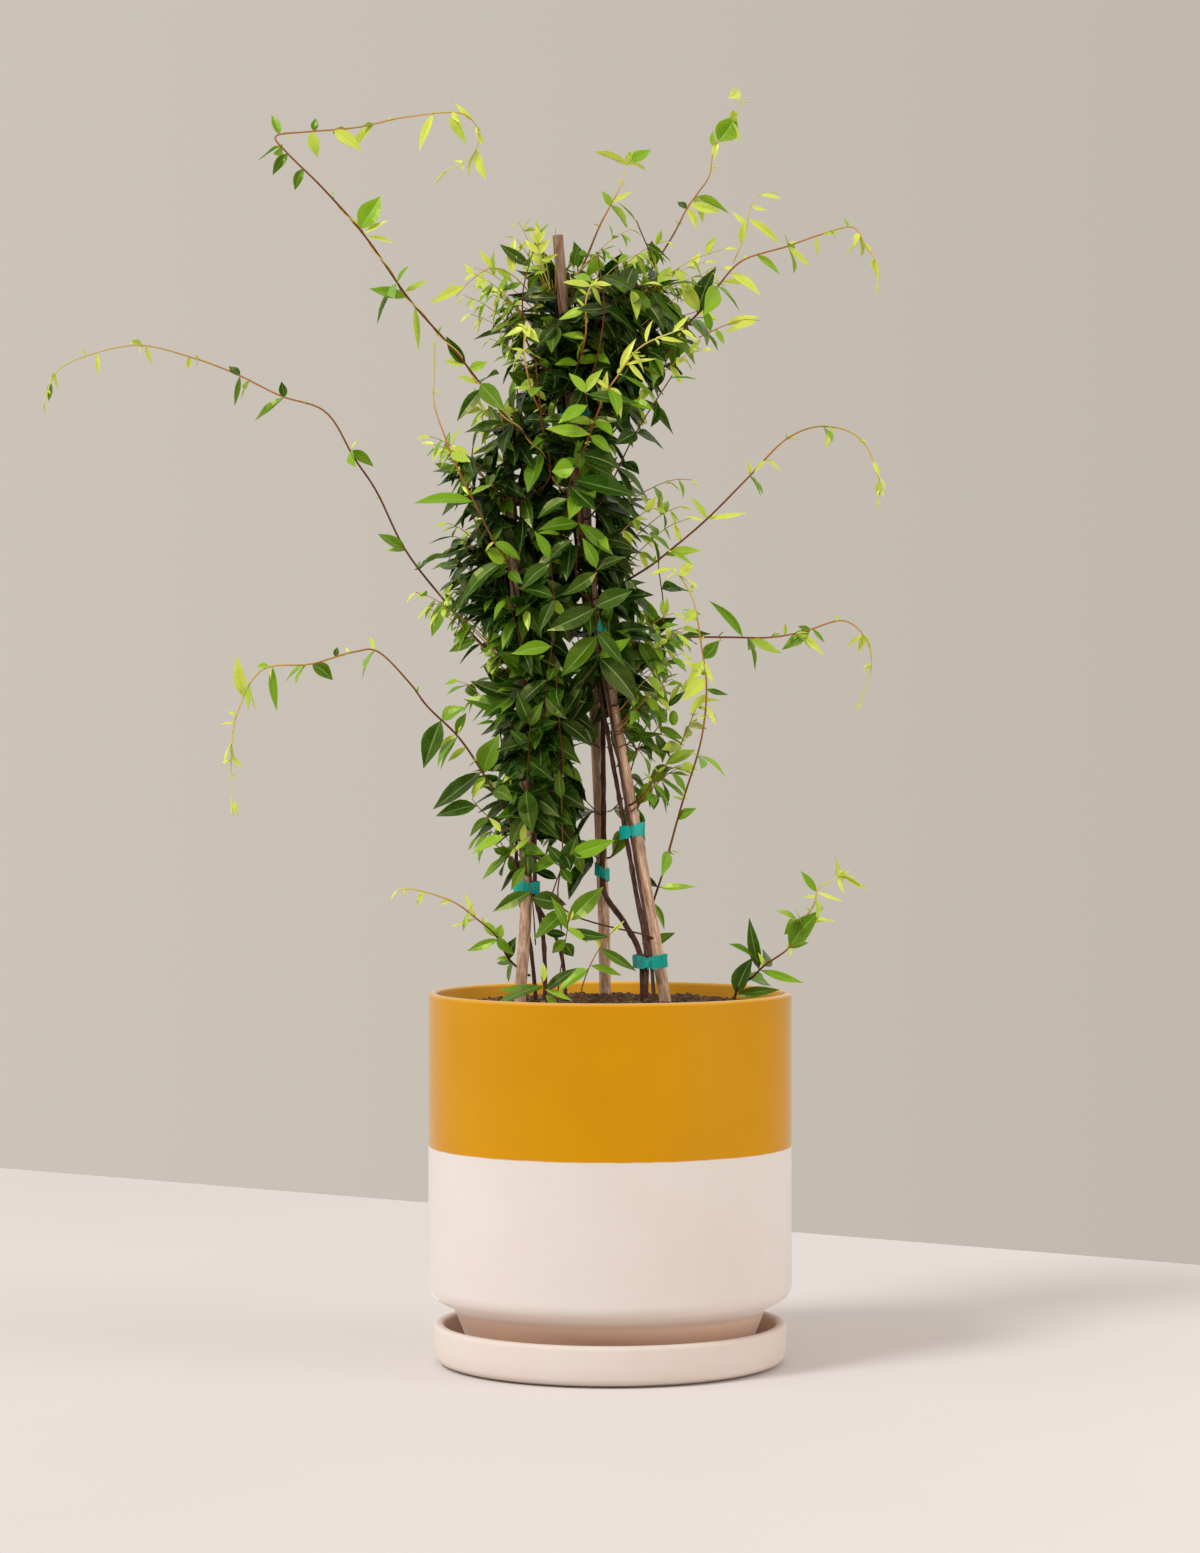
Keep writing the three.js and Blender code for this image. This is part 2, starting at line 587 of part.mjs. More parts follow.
const TWIG_TURNS = [0, 18, -18, 36, -36, 54, -54, 72, -72, 100, -100];
for (let i = 0; i < SPRAYS; i++) {
  const name = "spray_" + String(i + 1).padStart(2, "0");
  const z = clearOfTies(mix(...SPRAY_HEIGHTS, Math.pow((i + 0.5) / SPRAYS, 0.75)));
  for (const turn of TWIG_TURNS) {
    const course = grownTwig(z, degrees(i * GOLDEN_ANGLE + FIRST_ANGLE + turn));
    const isWood = (owner) => owner in trunks || owner in stakes;
    if (!isClear(along(course, 0.3), 1.5) || !isClear(along(course), 1.5, isWood)) continue;
    const pairs = z < LOW_SPRAY_Z ? LOW_SPRAY_PAIRS : SPRAY_PAIRS;
    const leaf = [SPRAY_LEAF, SPRAY_LEAF * 0.72];
    const radiusAt = (t) => mix(...SPRAY_RADIUS, t);
    stems[name] = { course, places: evenly(4), radiusAt, sides: STEM_SIDES, pairs, leaf };
    place(along(course), TWIG_ROOM, name);
    break;
  }
}

// Pot, saucer and soil

function pot() {
  const inside = POT_RADIUS - POT_WALL;
  const floor = SAUCER_FLOOR + POT_FLOOR;
  return turned([
    [DRAIN_RADIUS, SAUCER_FLOOR], [FOOT_BASE_RADIUS, SAUCER_FLOOR], [FOOT_RADIUS, FOOT_Z],
    [POT_RADIUS - 4, SHOULDER_Z - 6.5], [POT_RADIUS, SHOULDER_Z], [POT_RADIUS, RIM_Z - 3],
    [POT_RADIUS - 1.8, RIM_Z], [inside + 1.8, RIM_Z], [inside, RIM_Z - 3], [inside, SHOULDER_Z + 8],
    [FOOT_RADIUS - 7, FOOT_Z + 7], [FOOT_BASE_RADIUS - 3, floor], [DRAIN_RADIUS, floor],
    [DRAIN_RADIUS, SAUCER_FLOOR],
  ], ROUND_SIDES);
}

function saucer() {
  const [r, h] = [SAUCER_RADIUS, SAUCER_HEIGHT];
  return turned([
    [0, 0], [r - 13, 0], [r - 3, 4], [r, 13], [r, h - 6], [r - 2.5, h - 1], [r - 6, h], [r - 9, h - 5],
    [r - 12, SAUCER_FLOOR + 5], [r - 20, SAUCER_FLOOR], [0, SAUCER_FLOOR],
  ], ROUND_SIDES);
}

// The part of a stem that stands in the soil, up to its first ring above the rim.
function belowRim(stem) {
  const last = stem.places.findIndex((t) => stem.course.getPoint(t).z > RIM_Z);
  return { ...stem, places: stem.places.slice(0, last + 1) };
}

function soil() {
  const edge = POT_RADIUS - POT_WALL - SEAT_GAP;
  const floor = SAUCER_FLOOR + POT_FLOOR;
  const top = (r) => [r, mix(SOIL_EDGE_Z + SOIL_MOUND, SOIL_EDGE_Z, (r / edge) ** 2)];
  const profile = [[0, floor], [FOOT_BASE_RADIUS - 3.5, floor], [FOOT_RADIUS - 7.5, FOOT_Z + 7.5],
    [edge, SHOULDER_Z + 8.5], [edge, SOIL_EDGE_Z], top(108), top(72), top(36), [0, SOIL_EDGE_Z + SOIL_MOUND]];
  const points = profile.map(([r, z]) => new THREE.Vector2(r, z));
  const geometry = new THREE.LatheGeometry(points, ROUND_SIDES / 2).rotateX(Math.PI / 2);
  const position = geometry.attributes.position;
  for (let i = 0; i < position.count; i++) {
    const [x, y, z] = [position.getX(i), position.getY(i), position.getZ(i)];
    const unevenness = 1.6 * Math.sin(x * 0.11 + 1) * Math.cos(y * 0.13);
    if (z > SOIL_EDGE_Z) position.setZ(i, z + unevenness);
  }
  const standing = [...Object.values(stakes), ...Object.values(trunks), ...Object.values(stems)]
    .filter(({ course }) => course.getPoint(0).z < SOIL_EDGE_Z);
  return standing.reduce((block, stem) => block.subtract(tube(belowRim(stem), SEAT_GAP)), solidOf(geometry));
}

// The whole plant in its pot

const plant = new THREE.Group();
const finished = [];
const NO_VOLUME = 1e-4;

function add(name, solid, material) {
  const mesh = new THREE.Mesh(geometryOf(solid), material);
  mesh.name = name;
  plant.add(mesh);
  finished.push({ solid, box: new THREE.Box3().setFromObject(mesh) });
}

const crossing = (one, other) => one.intersect(other).volume();

// True if a small solid crosses nothing that is finished already.
function crossesNothing(solid) {
  const { min, max } = solid.boundingBox();
  const box = new THREE.Box3(vector(min), vector(max)).expandByScalar(0.2);
  return finished.every((other) => !box.intersectsBox(other.box) || crossing(other.solid, solid) < NO_VOLUME);
}

add("saucer", saucer(), CERAMIC);
add("pot", pot(), GLAZE);
add("soil", soil(), SOIL);
for (const [name, stake] of Object.entries(stakes)) add(name, tube(stake), BAMBOO);
for (const [name, trunk] of Object.entries(trunks)) add(name, tube(trunk), BARK);
for (const [name, { z, holds }] of Object.entries(TIES)) add(name, tie(holds, z), TAPE);

const names = Object.keys(stems);
names.forEach((name, i) => {
  stems[name].leaves = grownLeaves(name, stems[name], FIRST_SEED + SEED_STEP * i);
});
const bare = names.map((name) => tube(stems[name]));
names.forEach((name, i) => {
  const others = bare.filter((_, j) => j > i);
  const leaves = stems[name].leaves.map(blade)
    .filter((leaf) => crossesNothing(leaf) && others.every((other) => crossing(other, leaf) < NO_VOLUME));
  const material = name.startsWith("spray") ? LEAF : YOUNG_LEAF;
  add(name, leaves.reduce((whole, leaf) => whole.add(leaf), bare[i]), material);
});

export default plant;
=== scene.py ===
"""Dresses the potted Carolina jasmine: fine pot, saucer, soil, canes, woody stems, ties and leaves."""
import functools
import math
from collections import namedtuple

import bmesh
import bpy
import numpy as np
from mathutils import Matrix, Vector, noise


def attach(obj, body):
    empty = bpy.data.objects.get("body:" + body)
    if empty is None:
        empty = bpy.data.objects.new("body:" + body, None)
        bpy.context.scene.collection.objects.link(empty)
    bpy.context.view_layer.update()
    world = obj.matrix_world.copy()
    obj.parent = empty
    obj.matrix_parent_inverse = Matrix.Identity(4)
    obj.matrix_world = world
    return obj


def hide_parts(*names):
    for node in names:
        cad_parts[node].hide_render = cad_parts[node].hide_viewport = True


bl_info = {
    "name": "Potted Carolina Jasmine",
    "version": (1, 0, 0),
    "blender": (4, 5, 0),
    "location": "View3D > Sidebar > Jasmine",
    "description": "Models a young climber on three canes in a two-colour pot",
    "category": "Add Mesh",
}

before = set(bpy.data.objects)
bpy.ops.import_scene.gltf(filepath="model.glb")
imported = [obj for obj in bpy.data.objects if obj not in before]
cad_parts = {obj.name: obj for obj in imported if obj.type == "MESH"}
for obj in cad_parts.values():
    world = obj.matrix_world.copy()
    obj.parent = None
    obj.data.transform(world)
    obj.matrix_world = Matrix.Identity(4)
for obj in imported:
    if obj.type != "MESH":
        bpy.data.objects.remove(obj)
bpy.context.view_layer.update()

MM = 0.001
UP = np.array([0.0, 0.0, 1.0])

# Pot, saucer and soil, in millimetres
POT_RADIUS = 152.5
POT_WALL = 7
RIM_Z = 311
SHOULDER_Z = 62
FOOT_Z = 47
FOOT_RADIUS = 131
FOOT_BASE_RADIUS = 115
POT_FLOOR = 10
POT_CLEARANCE = 6
DRAIN_RADIUS = 8
COLOUR_LINE_Z = 183
LIP_Z = 308
RIM_CLEARANCE = 3
SAUCER_RADIUS = 148
SAUCER_HEIGHT = 34.5
SAUCER_FLOOR = 8
SOIL_EDGE_Z = 297
SOIL_MOUND = 8
SOIL_GAP = 0.5
SOIL_EDGE_GAP = 0.3
ROUND_SIDES = 128

# The lumps of the soil's surface: their width, where their noise is read and their height.
SOIL_LUMPS = [[16, 0, 2.2], [5, 3, 1.6]]

# The radius at which a turned piece closes over its middle.
MIDDLE = 0.01

# The sections of pot and saucer, round their outside and back down their inside: each corner's radius
# and height, and how far its rounding starts from it.
INSIDE = POT_RADIUS - POT_WALL
INNER_SHOULDER_Z = SHOULDER_Z + 8
INNER_FOOT_Z = FOOT_Z + 7
INNER_FOOT_RADIUS = FOOT_RADIUS - 7
INNER_BASE_RADIUS = FOOT_BASE_RADIUS - 3
INNER_FLOOR_Z = SAUCER_FLOOR + POT_FLOOR
POT_SECTION = [
    [DRAIN_RADIUS, SAUCER_FLOOR, 0], [FOOT_BASE_RADIUS, SAUCER_FLOOR, 2], [FOOT_RADIUS, FOOT_Z, 4],
    [POT_RADIUS, SHOULDER_Z - 3, 9], [POT_RADIUS, RIM_Z, 3.2], [INSIDE, RIM_Z, 3.2],
    [INSIDE, INNER_SHOULDER_Z, 8], [INNER_FOOT_RADIUS, INNER_FOOT_Z, 4],
    [INNER_BASE_RADIUS, INNER_FLOOR_Z, 4], [DRAIN_RADIUS, INNER_FLOOR_Z, 1], [DRAIN_RADIUS, SAUCER_FLOOR, 0],
]
SAUCER_SECTION = [
    [MIDDLE, 0, 0], [SAUCER_RADIUS - 13, 0, 3], [SAUCER_RADIUS - 2, 4, 4], [SAUCER_RADIUS, 13, 5],
    [SAUCER_RADIUS, SAUCER_HEIGHT, 4.2], [SAUCER_RADIUS - 9, SAUCER_HEIGHT, 4.2],
    [SAUCER_RADIUS - 12, SAUCER_FLOOR + 3, 4], [SAUCER_RADIUS - 20, SAUCER_FLOOR, 4],
    [MIDDLE, SAUCER_FLOOR, 0],
]

# The three stakes: a course through listed points, foot first, and where the cane's joints are.
STAKE_RADIUS = 5
STAKE_TAPER = 0.9
JOINT_SWELL = 1.14
JOINT_STEP = 0.012
JOINT_ROOM = 0.03
STAKES = {
    "stake_right": {
        "joints": [0.3, 0.56, 0.8],
        "points": [
            [68, -34, 160], [46, -32, 306], [26, -26, 422], [0, -18, 565],
            [-15, -12, 646], [-27, -6, 743], [-36, -1, 850], [-44, 4, 947],
        ],
    },
    "stake_left": {
        "joints": [0.36, 0.62, 0.86],
        "points": [
            [-82, -32, 170], [-75, -30, 306], [-70, -26, 390], [-72, -20, 505],
            [-77, -14, 607], [-82, -8, 702], [-86, -4, 765],
        ],
    },
    "stake_middle": {
        "joints": [0.33, 0.55, 0.79],
        "points": [
            [-2, 66, 165], [-4, 56, 300], [-6, 48, 390], [-12, 36, 530],
            [-19, 20, 680], [-23, 9, 783], [-24, 4, 850],
        ],
    },
}

# The woody stems: their radius, a free run out of the soil, then up a stake from one height to
# another, turning round it between two angles.
Trunk = namedtuple("Trunk", "radius stake foot climb angles")
TRUNKS = {
    "trunk_left_front": Trunk(
        2.4, "stake_left", [[-54, -24, 272], [-55, -24, 350]], [395, 745], [-20, -70]),
    "trunk_left_back": Trunk(2, "stake_left", [[-36, -18, 272], [-41, -14, 345]], [395, 735], [55, 20]),
    "trunk_left_outer": Trunk(2.2, "stake_left", [[-60, -2, 272], [-66, -8, 345]], [400, 700], [150, 185]),
    "trunk_middle": Trunk(
        3.3, "stake_middle", [[28, -20, 270], [26, -16, 338], [13, 12, 367]], [395, 840], [-85, 30]),
    "trunk_right": Trunk(2.8, "stake_right", [[28, -38, 272], [30, -36, 345]], [400, 905], [178, 130]),
    "trunk_right_thin": Trunk(1.8, "stake_right", [[38, -50, 275], [33, -46, 350]], [415, 860], [232, 290]),
}
TRUNK_TAPER = 0.45
CLIMB_STEP = 45
TRUNK_CLEARANCE = 1.2

# The tape ties: how high the middle of each is and what it holds.
RIGHT_BUNDLE = ["stake_right", "trunk_right", "trunk_right_thin"]
LEFT_BUNDLE = ["stake_left", "trunk_left_front", "trunk_left_back"]
TOP_BUNDLE = ["stake_right", "stake_middle", "trunk_right", "trunk_middle", "trunk_right_thin"]
TIES = {
    "tie_right_low": [338, [*RIGHT_BUNDLE, "trunk_middle"]],
    "tie_right_mid": [447, RIGHT_BUNDLE],
    "tie_right_high": [618, RIGHT_BUNDLE],
    "tie_middle_low": [410, ["stake_middle", "trunk_middle"]],
    "tie_left_low": [400, [*LEFT_BUNDLE, "trunk_left_outer"]],
    "tie_left_mid": [504, [*LEFT_BUNDLE, "trunk_left_outer"]],
    "tie_left_high": [695, LEFT_BUNDLE],
    "tie_top_low": [756, TOP_BUNDLE],
    "tie_top_high": [796, TOP_BUNDLE],
}
TAPE_WIDTH = 12
TAPE_THICKNESS = 0.8
TAPE_SLACK = 0.6
TAPE_POINTS = 6
TAPE_TAB = 9
TAPE_ROOM = 3

# How wide the gathered front of a tape is, and how steeply a tape runs up to the right.
TAPE_PINCH = 2.4
TAPE_SLOPE = 0.1
TAPE_SLOPES = {"tie_right_mid": 0.2, "tie_right_low": 0.06, "tie_middle_low": -0.45, "tie_left_low": -0.08}

# The long shoots: where each leaves a woody stem or the soil, its leaves' first and last length,
# the places of its leaf pairs from 0 to 1, and its course.
Shoot = namedtuple("Shoot", "start leaf pairs points")
SHOOTS = {
    "shoot_upper_left": Shoot(["trunk_right", 722], [42, 24], [0.12, 0.22, 0.33, 0.52, 0.66, 0.8, 0.92], [
        [-60, -35, 765], [-90, -50, 795], [-125, -65, 840], [-165, -75, 885], [-200, -80, 935],
        [-235, -80, 975], [-265, -75, 1005], [-275, -70, 1020], [-250, -60, 1025], [-210, -50, 1030],
        [-170, -40, 1040], [-125, -30, 1045], [-110, -25, 1030], [-115, -25, 1010], [-140, -30, 995],
    ]),
    "shoot_left": Shoot(["trunk_left_outer", 585], [32, 14], [0.14, 0.26, 0.44, 0.62, 0.78, 0.93], [
        [-110, 20, 605], [-140, 40, 640], [-175, 60, 685], [-200, 75, 735], [-220, 80, 765],
        [-245, 90, 805], [-285, 100, 820], [-325, 110, 840], [-365, 115, 855], [-410, 115, 865],
        [-455, 110, 855], [-480, 105, 840], [-490, 100, 810],
    ]),
    "shoot_lower_left": Shoot(["trunk_left_front", 425], [40, 18], [0.1, 0.2, 0.31, 0.55, 0.7, 0.8, 0.9], [
        [-85, -40, 460], [-105, -50, 495], [-125, -60, 525], [-150, -70, 550], [-165, -75, 570],
        [-190, -80, 595], [-210, -85, 595], [-245, -90, 585], [-285, -90, 580], [-305, -90, 545],
        [-310, -90, 510], [-310, -85, 465],
    ]),
    "shoot_low_left": Shoot(["trunk_left_outer", 325], [26, 14], [0.25, 0.42, 0.62, 0.82], [
        [-85, -15, 340], [-95, -35, 360], [-110, -60, 375], [-130, -70, 390], [-160, -80, 400],
        [-175, -85, 400],
    ]),
    "shoot_right_arch": Shoot(["trunk_right_thin", 640], [34, 15], [0.16, 0.3, 0.5, 0.7, 0.9], [
        [30, -40, 665], [50, -50, 680], [80, -65, 705], [115, -75, 740], [145, -80, 770], [175, -85, 780],
        [205, -85, 770], [220, -80, 740], [220, -80, 720],
    ]),
    "shoot_right_level": Shoot(["trunk_middle", 600], [36, 15], [0.16, 0.3, 0.44, 0.58, 0.78], [
        [30, 10, 610], [60, 30, 610], [105, 50, 610], [135, 60, 610], [165, 70, 615], [200, 80, 625],
        [220, 85, 610], [225, 85, 585], [215, 85, 555],
    ]),
    "shoot_climbing": Shoot([40, 0, 275], [30, 24], [0.33, 0.48, 0.62, 0.78, 0.92], [
        [35, 0, 345], [35, -10, 380], [45, -25, 415], [60, -35, 470], [75, -45, 520], [80, -50, 565],
        [75, -50, 605], [70, -50, 635], [60, -50, 655], [50, -50, 665],
    ]),
    "shoot_top": Shoot(["trunk_right", 888], [24, 30], [0.35, 0.68, 0.97], [
        [-20, 20, 930], [-10, 25, 955], [0, 30, 975], [10, 35, 995], [15, 40, 1015],
    ]),
    "shoot_top_right": Shoot(["trunk_middle", 838], [34, 34], [0.16, 0.34, 0.62, 0.88], [
        [10, 30, 880], [25, 35, 905], [40, 45, 930], [55, 50, 955], [65, 55, 975], [75, 60, 990],
        [85, 60, 1005], [90, 60, 1030], [110, 65, 1060], [110, 60, 1080],
    ]),
    "shoot_right_top": Shoot(["trunk_middle", 812], [50, 18], [0.12, 0.22, 0.33, 0.46, 0.62, 0.8], [
        [20, 0, 830], [45, -10, 845], [65, -20, 870], [80, -30, 885], [90, -40, 900], [110, -50, 920],
        [145, -60, 930], [175, -65, 940], [200, -70, 945], [210, -70, 930], [220, -70, 915],
        [220, -70, 900],
    ]),
    "shoot_left_riser": Shoot(["trunk_left_front", 628], [30, 16], [0.2, 0.34, 0.48, 0.62], [
        [-85, -50, 670], [-95, -55, 685], [-110, -65, 715], [-125, -70, 745], [-135, -70, 770],
        [-145, -65, 800], [-145, -60, 830], [-145, -50, 850],
    ]),
    "shoot_left_inner": Shoot(["trunk_left_back", 708], [28, 20], [0.4, 0.62, 0.82, 0.97], [
        [-95, 20, 710], [-100, 30, 735], [-105, 40, 765], [-110, 40, 810],
    ]),
    "shoot_front": Shoot(["trunk_right_thin", 735], [34, 24], [0.28, 0.46, 0.64, 0.82], [
        [-25, -45, 755], [-15, -60, 780], [-5, -70, 805], [5, -80, 820], [25, -85, 845], [60, -90, 860],
    ]),
    "shoot_front_top": Shoot(["trunk_right_thin", 825], [30, 22], [0.35, 0.55, 0.75, 0.97], [
        [-25, -40, 840], [-20, -55, 860], [-20, -60, 885], [-15, -60, 900],
    ]),
    "shoot_front_left": Shoot(["trunk_right", 785], [32, 20], [0.35, 0.6, 0.82, 0.98], [
        [-60, -45, 800], [-70, -65, 835], [-70, -70, 865],
    ]),
    "shoot_pot_right": Shoot([106, -10, 275], [48, 24], [0.22, 0.36, 0.62, 0.8, 0.97], [
        [105, -10, 310], [120, -15, 325], [130, -20, 335], [150, -25, 350], [160, -25, 370],
        [170, -25, 385], [175, -25, 400], [195, -25, 410],
    ]),
    "shoot_right_cluster": Shoot(["trunk_right_thin", 468], [36, 26], [0.42, 0.58, 0.74, 0.86, 0.98], [
        [30, -40, 480], [40, -10, 495], [55, 20, 510], [65, 25, 530], [75, 25, 555],
    ]),
}
SHOOT_RADIUS = [1.5, 0.8]

# How a side shoot leaves its woody stem: its gap to the bark, with a share of its own radius, and its
# run out and rise to its second point.
BARK_GAP = 0.25
RADIUS_SHARE = 0.3
LEAVING_RUN = 6
LEAVING_RISE = 3

# The outline of the leafy mass: height, then how far it reaches left, right, and to front and back.
OUTLINE = [
    [330, -95, 20, 70], [400, -110, 10, 60], [450, -125, 45, 65], [510, -130, 85, 75], [570, -115, 85, 80],
    [630, -140, 80, 85], [700, -165, 50, 85], [755, -150, 50, 80], [800, -115, 80, 85], [850, -110, 105, 90],
    [900, -105, 85, 80], [945, -80, 45, 60],
]

# The column of canes that the mass stands round: its middle at its foot and at its top.
COLUMN_X = [-30, -38]
COLUMN_Z = 330
COLUMN_HEIGHT = 600

# The sprays that the part is made of: how many, where they start, and the rise and reach of each
# step of their course.
SPRAYS = 20
SPRAY_HEIGHTS = [325, 850]
SPRAY_RADIUS = [1.3, 0.8]
SPRAY_LEAF = 44
SPRAY_PAIRS = [0.34, 0.48, 0.62, 0.76, 0.9]
LOW_SPRAY_PAIRS = [0.5, 0.75]
LOW_SPRAY_Z = 430
SPRAY_COURSE = [[24, 0.6], [70, 0.85], [118, 1]]
SPRAY_GAP = 1.5
SPRAY_LAST_LEAF = 0.72
GOLDEN_ANGLE = 137.5
FIRST_ANGLE = -100
TWIG_TURNS = [0, 18, -18, 36, -36, 54, -54, 72, -72, 100, -100]

# The bunches of small twigs that fill the leafy mass between the sprays: the lowest and highest
# twig tip, the furthest left, right and front, how many twigs, their leaf's length, how young
# their leaves are at least, and whether all of them reach forward.
Bunch = namedtuple("Bunch", "z x depth twigs leaf age front", defaults=[0, False])
BUNCHES = {
    "crown_right": Bunch([800, 925], [-20, 76], 60, 32, 50),
    "crown_left": Bunch([800, 925], [-84, -20], 55, 22, 44),
    "upper_column": Bunch([690, 805], [-84, 12], 52, 27, 50),
    "left_bulge": Bunch([640, 775], [-134, -80], 55, 24, 44),
    "middle_column": Bunch([585, 695], [-74, 6], 52, 27, 54),
    "right_cluster": Bunch([490, 620], [26, 70], 50, 14, 38, 0.38),
    "left_column": Bunch([455, 590], [-84, -28], 48, 28, 48),
    "left_front": Bunch([450, 690], [-86, -50], 58, 22, 46, front=True),
    "middle_front": Bunch([600, 760], [-50, 8], 58, 14, 50, front=True),
    "top_tips": Bunch([925, 965], [-92, 60], 45, 12, 24, 0.8),
    "right_tips": Bunch([830, 930], [70, 112], 50, 8, 28, 0.8),
    "left_tips": Bunch([790, 925], [-124, -88], 50, 12, 28, 0.75),
    "bulge_tips": Bunch([630, 780], [-166, -134], 50, 8, 30, 0.65),
    "side_tips": Bunch([540, 760], [28, 70], 50, 12, 28, 0.7),
    "low_left_tips": Bunch([440, 590], [-132, -104], 45, 3, 34, 0.5),
}
TWIG_RADIUS = [0.9, 0.4]
TWIG_GAP = 0.4
TWIG_WOOD_GAP = 0.6
TWIG_BALL = 1.2
TWIG_LAST_LEAF = 0.66
TWIG_PAIRS = [2, 8]
TWIG_PAIR_STEP = 12
TWIG_LEAFY = [0.26, 0.7]
TWIG_TRIES = 10
TWIG_SWAY = 0.2
TWIG_RISE = [22, 90]
TWIG_LEAST_Z = 322

# Where the canes show between the leaves, from one height to another, and how far off their middle
# a leaf in front would hide them.
OPEN_CANES = {
    "stake_right": [[300, 575], [630, 655], [692, 735], [785, 800], [885, 950]],
    "stake_middle": [[300, 525]],
    "stake_left": [[300, 395]],
}
OPEN_WIDTH = 10
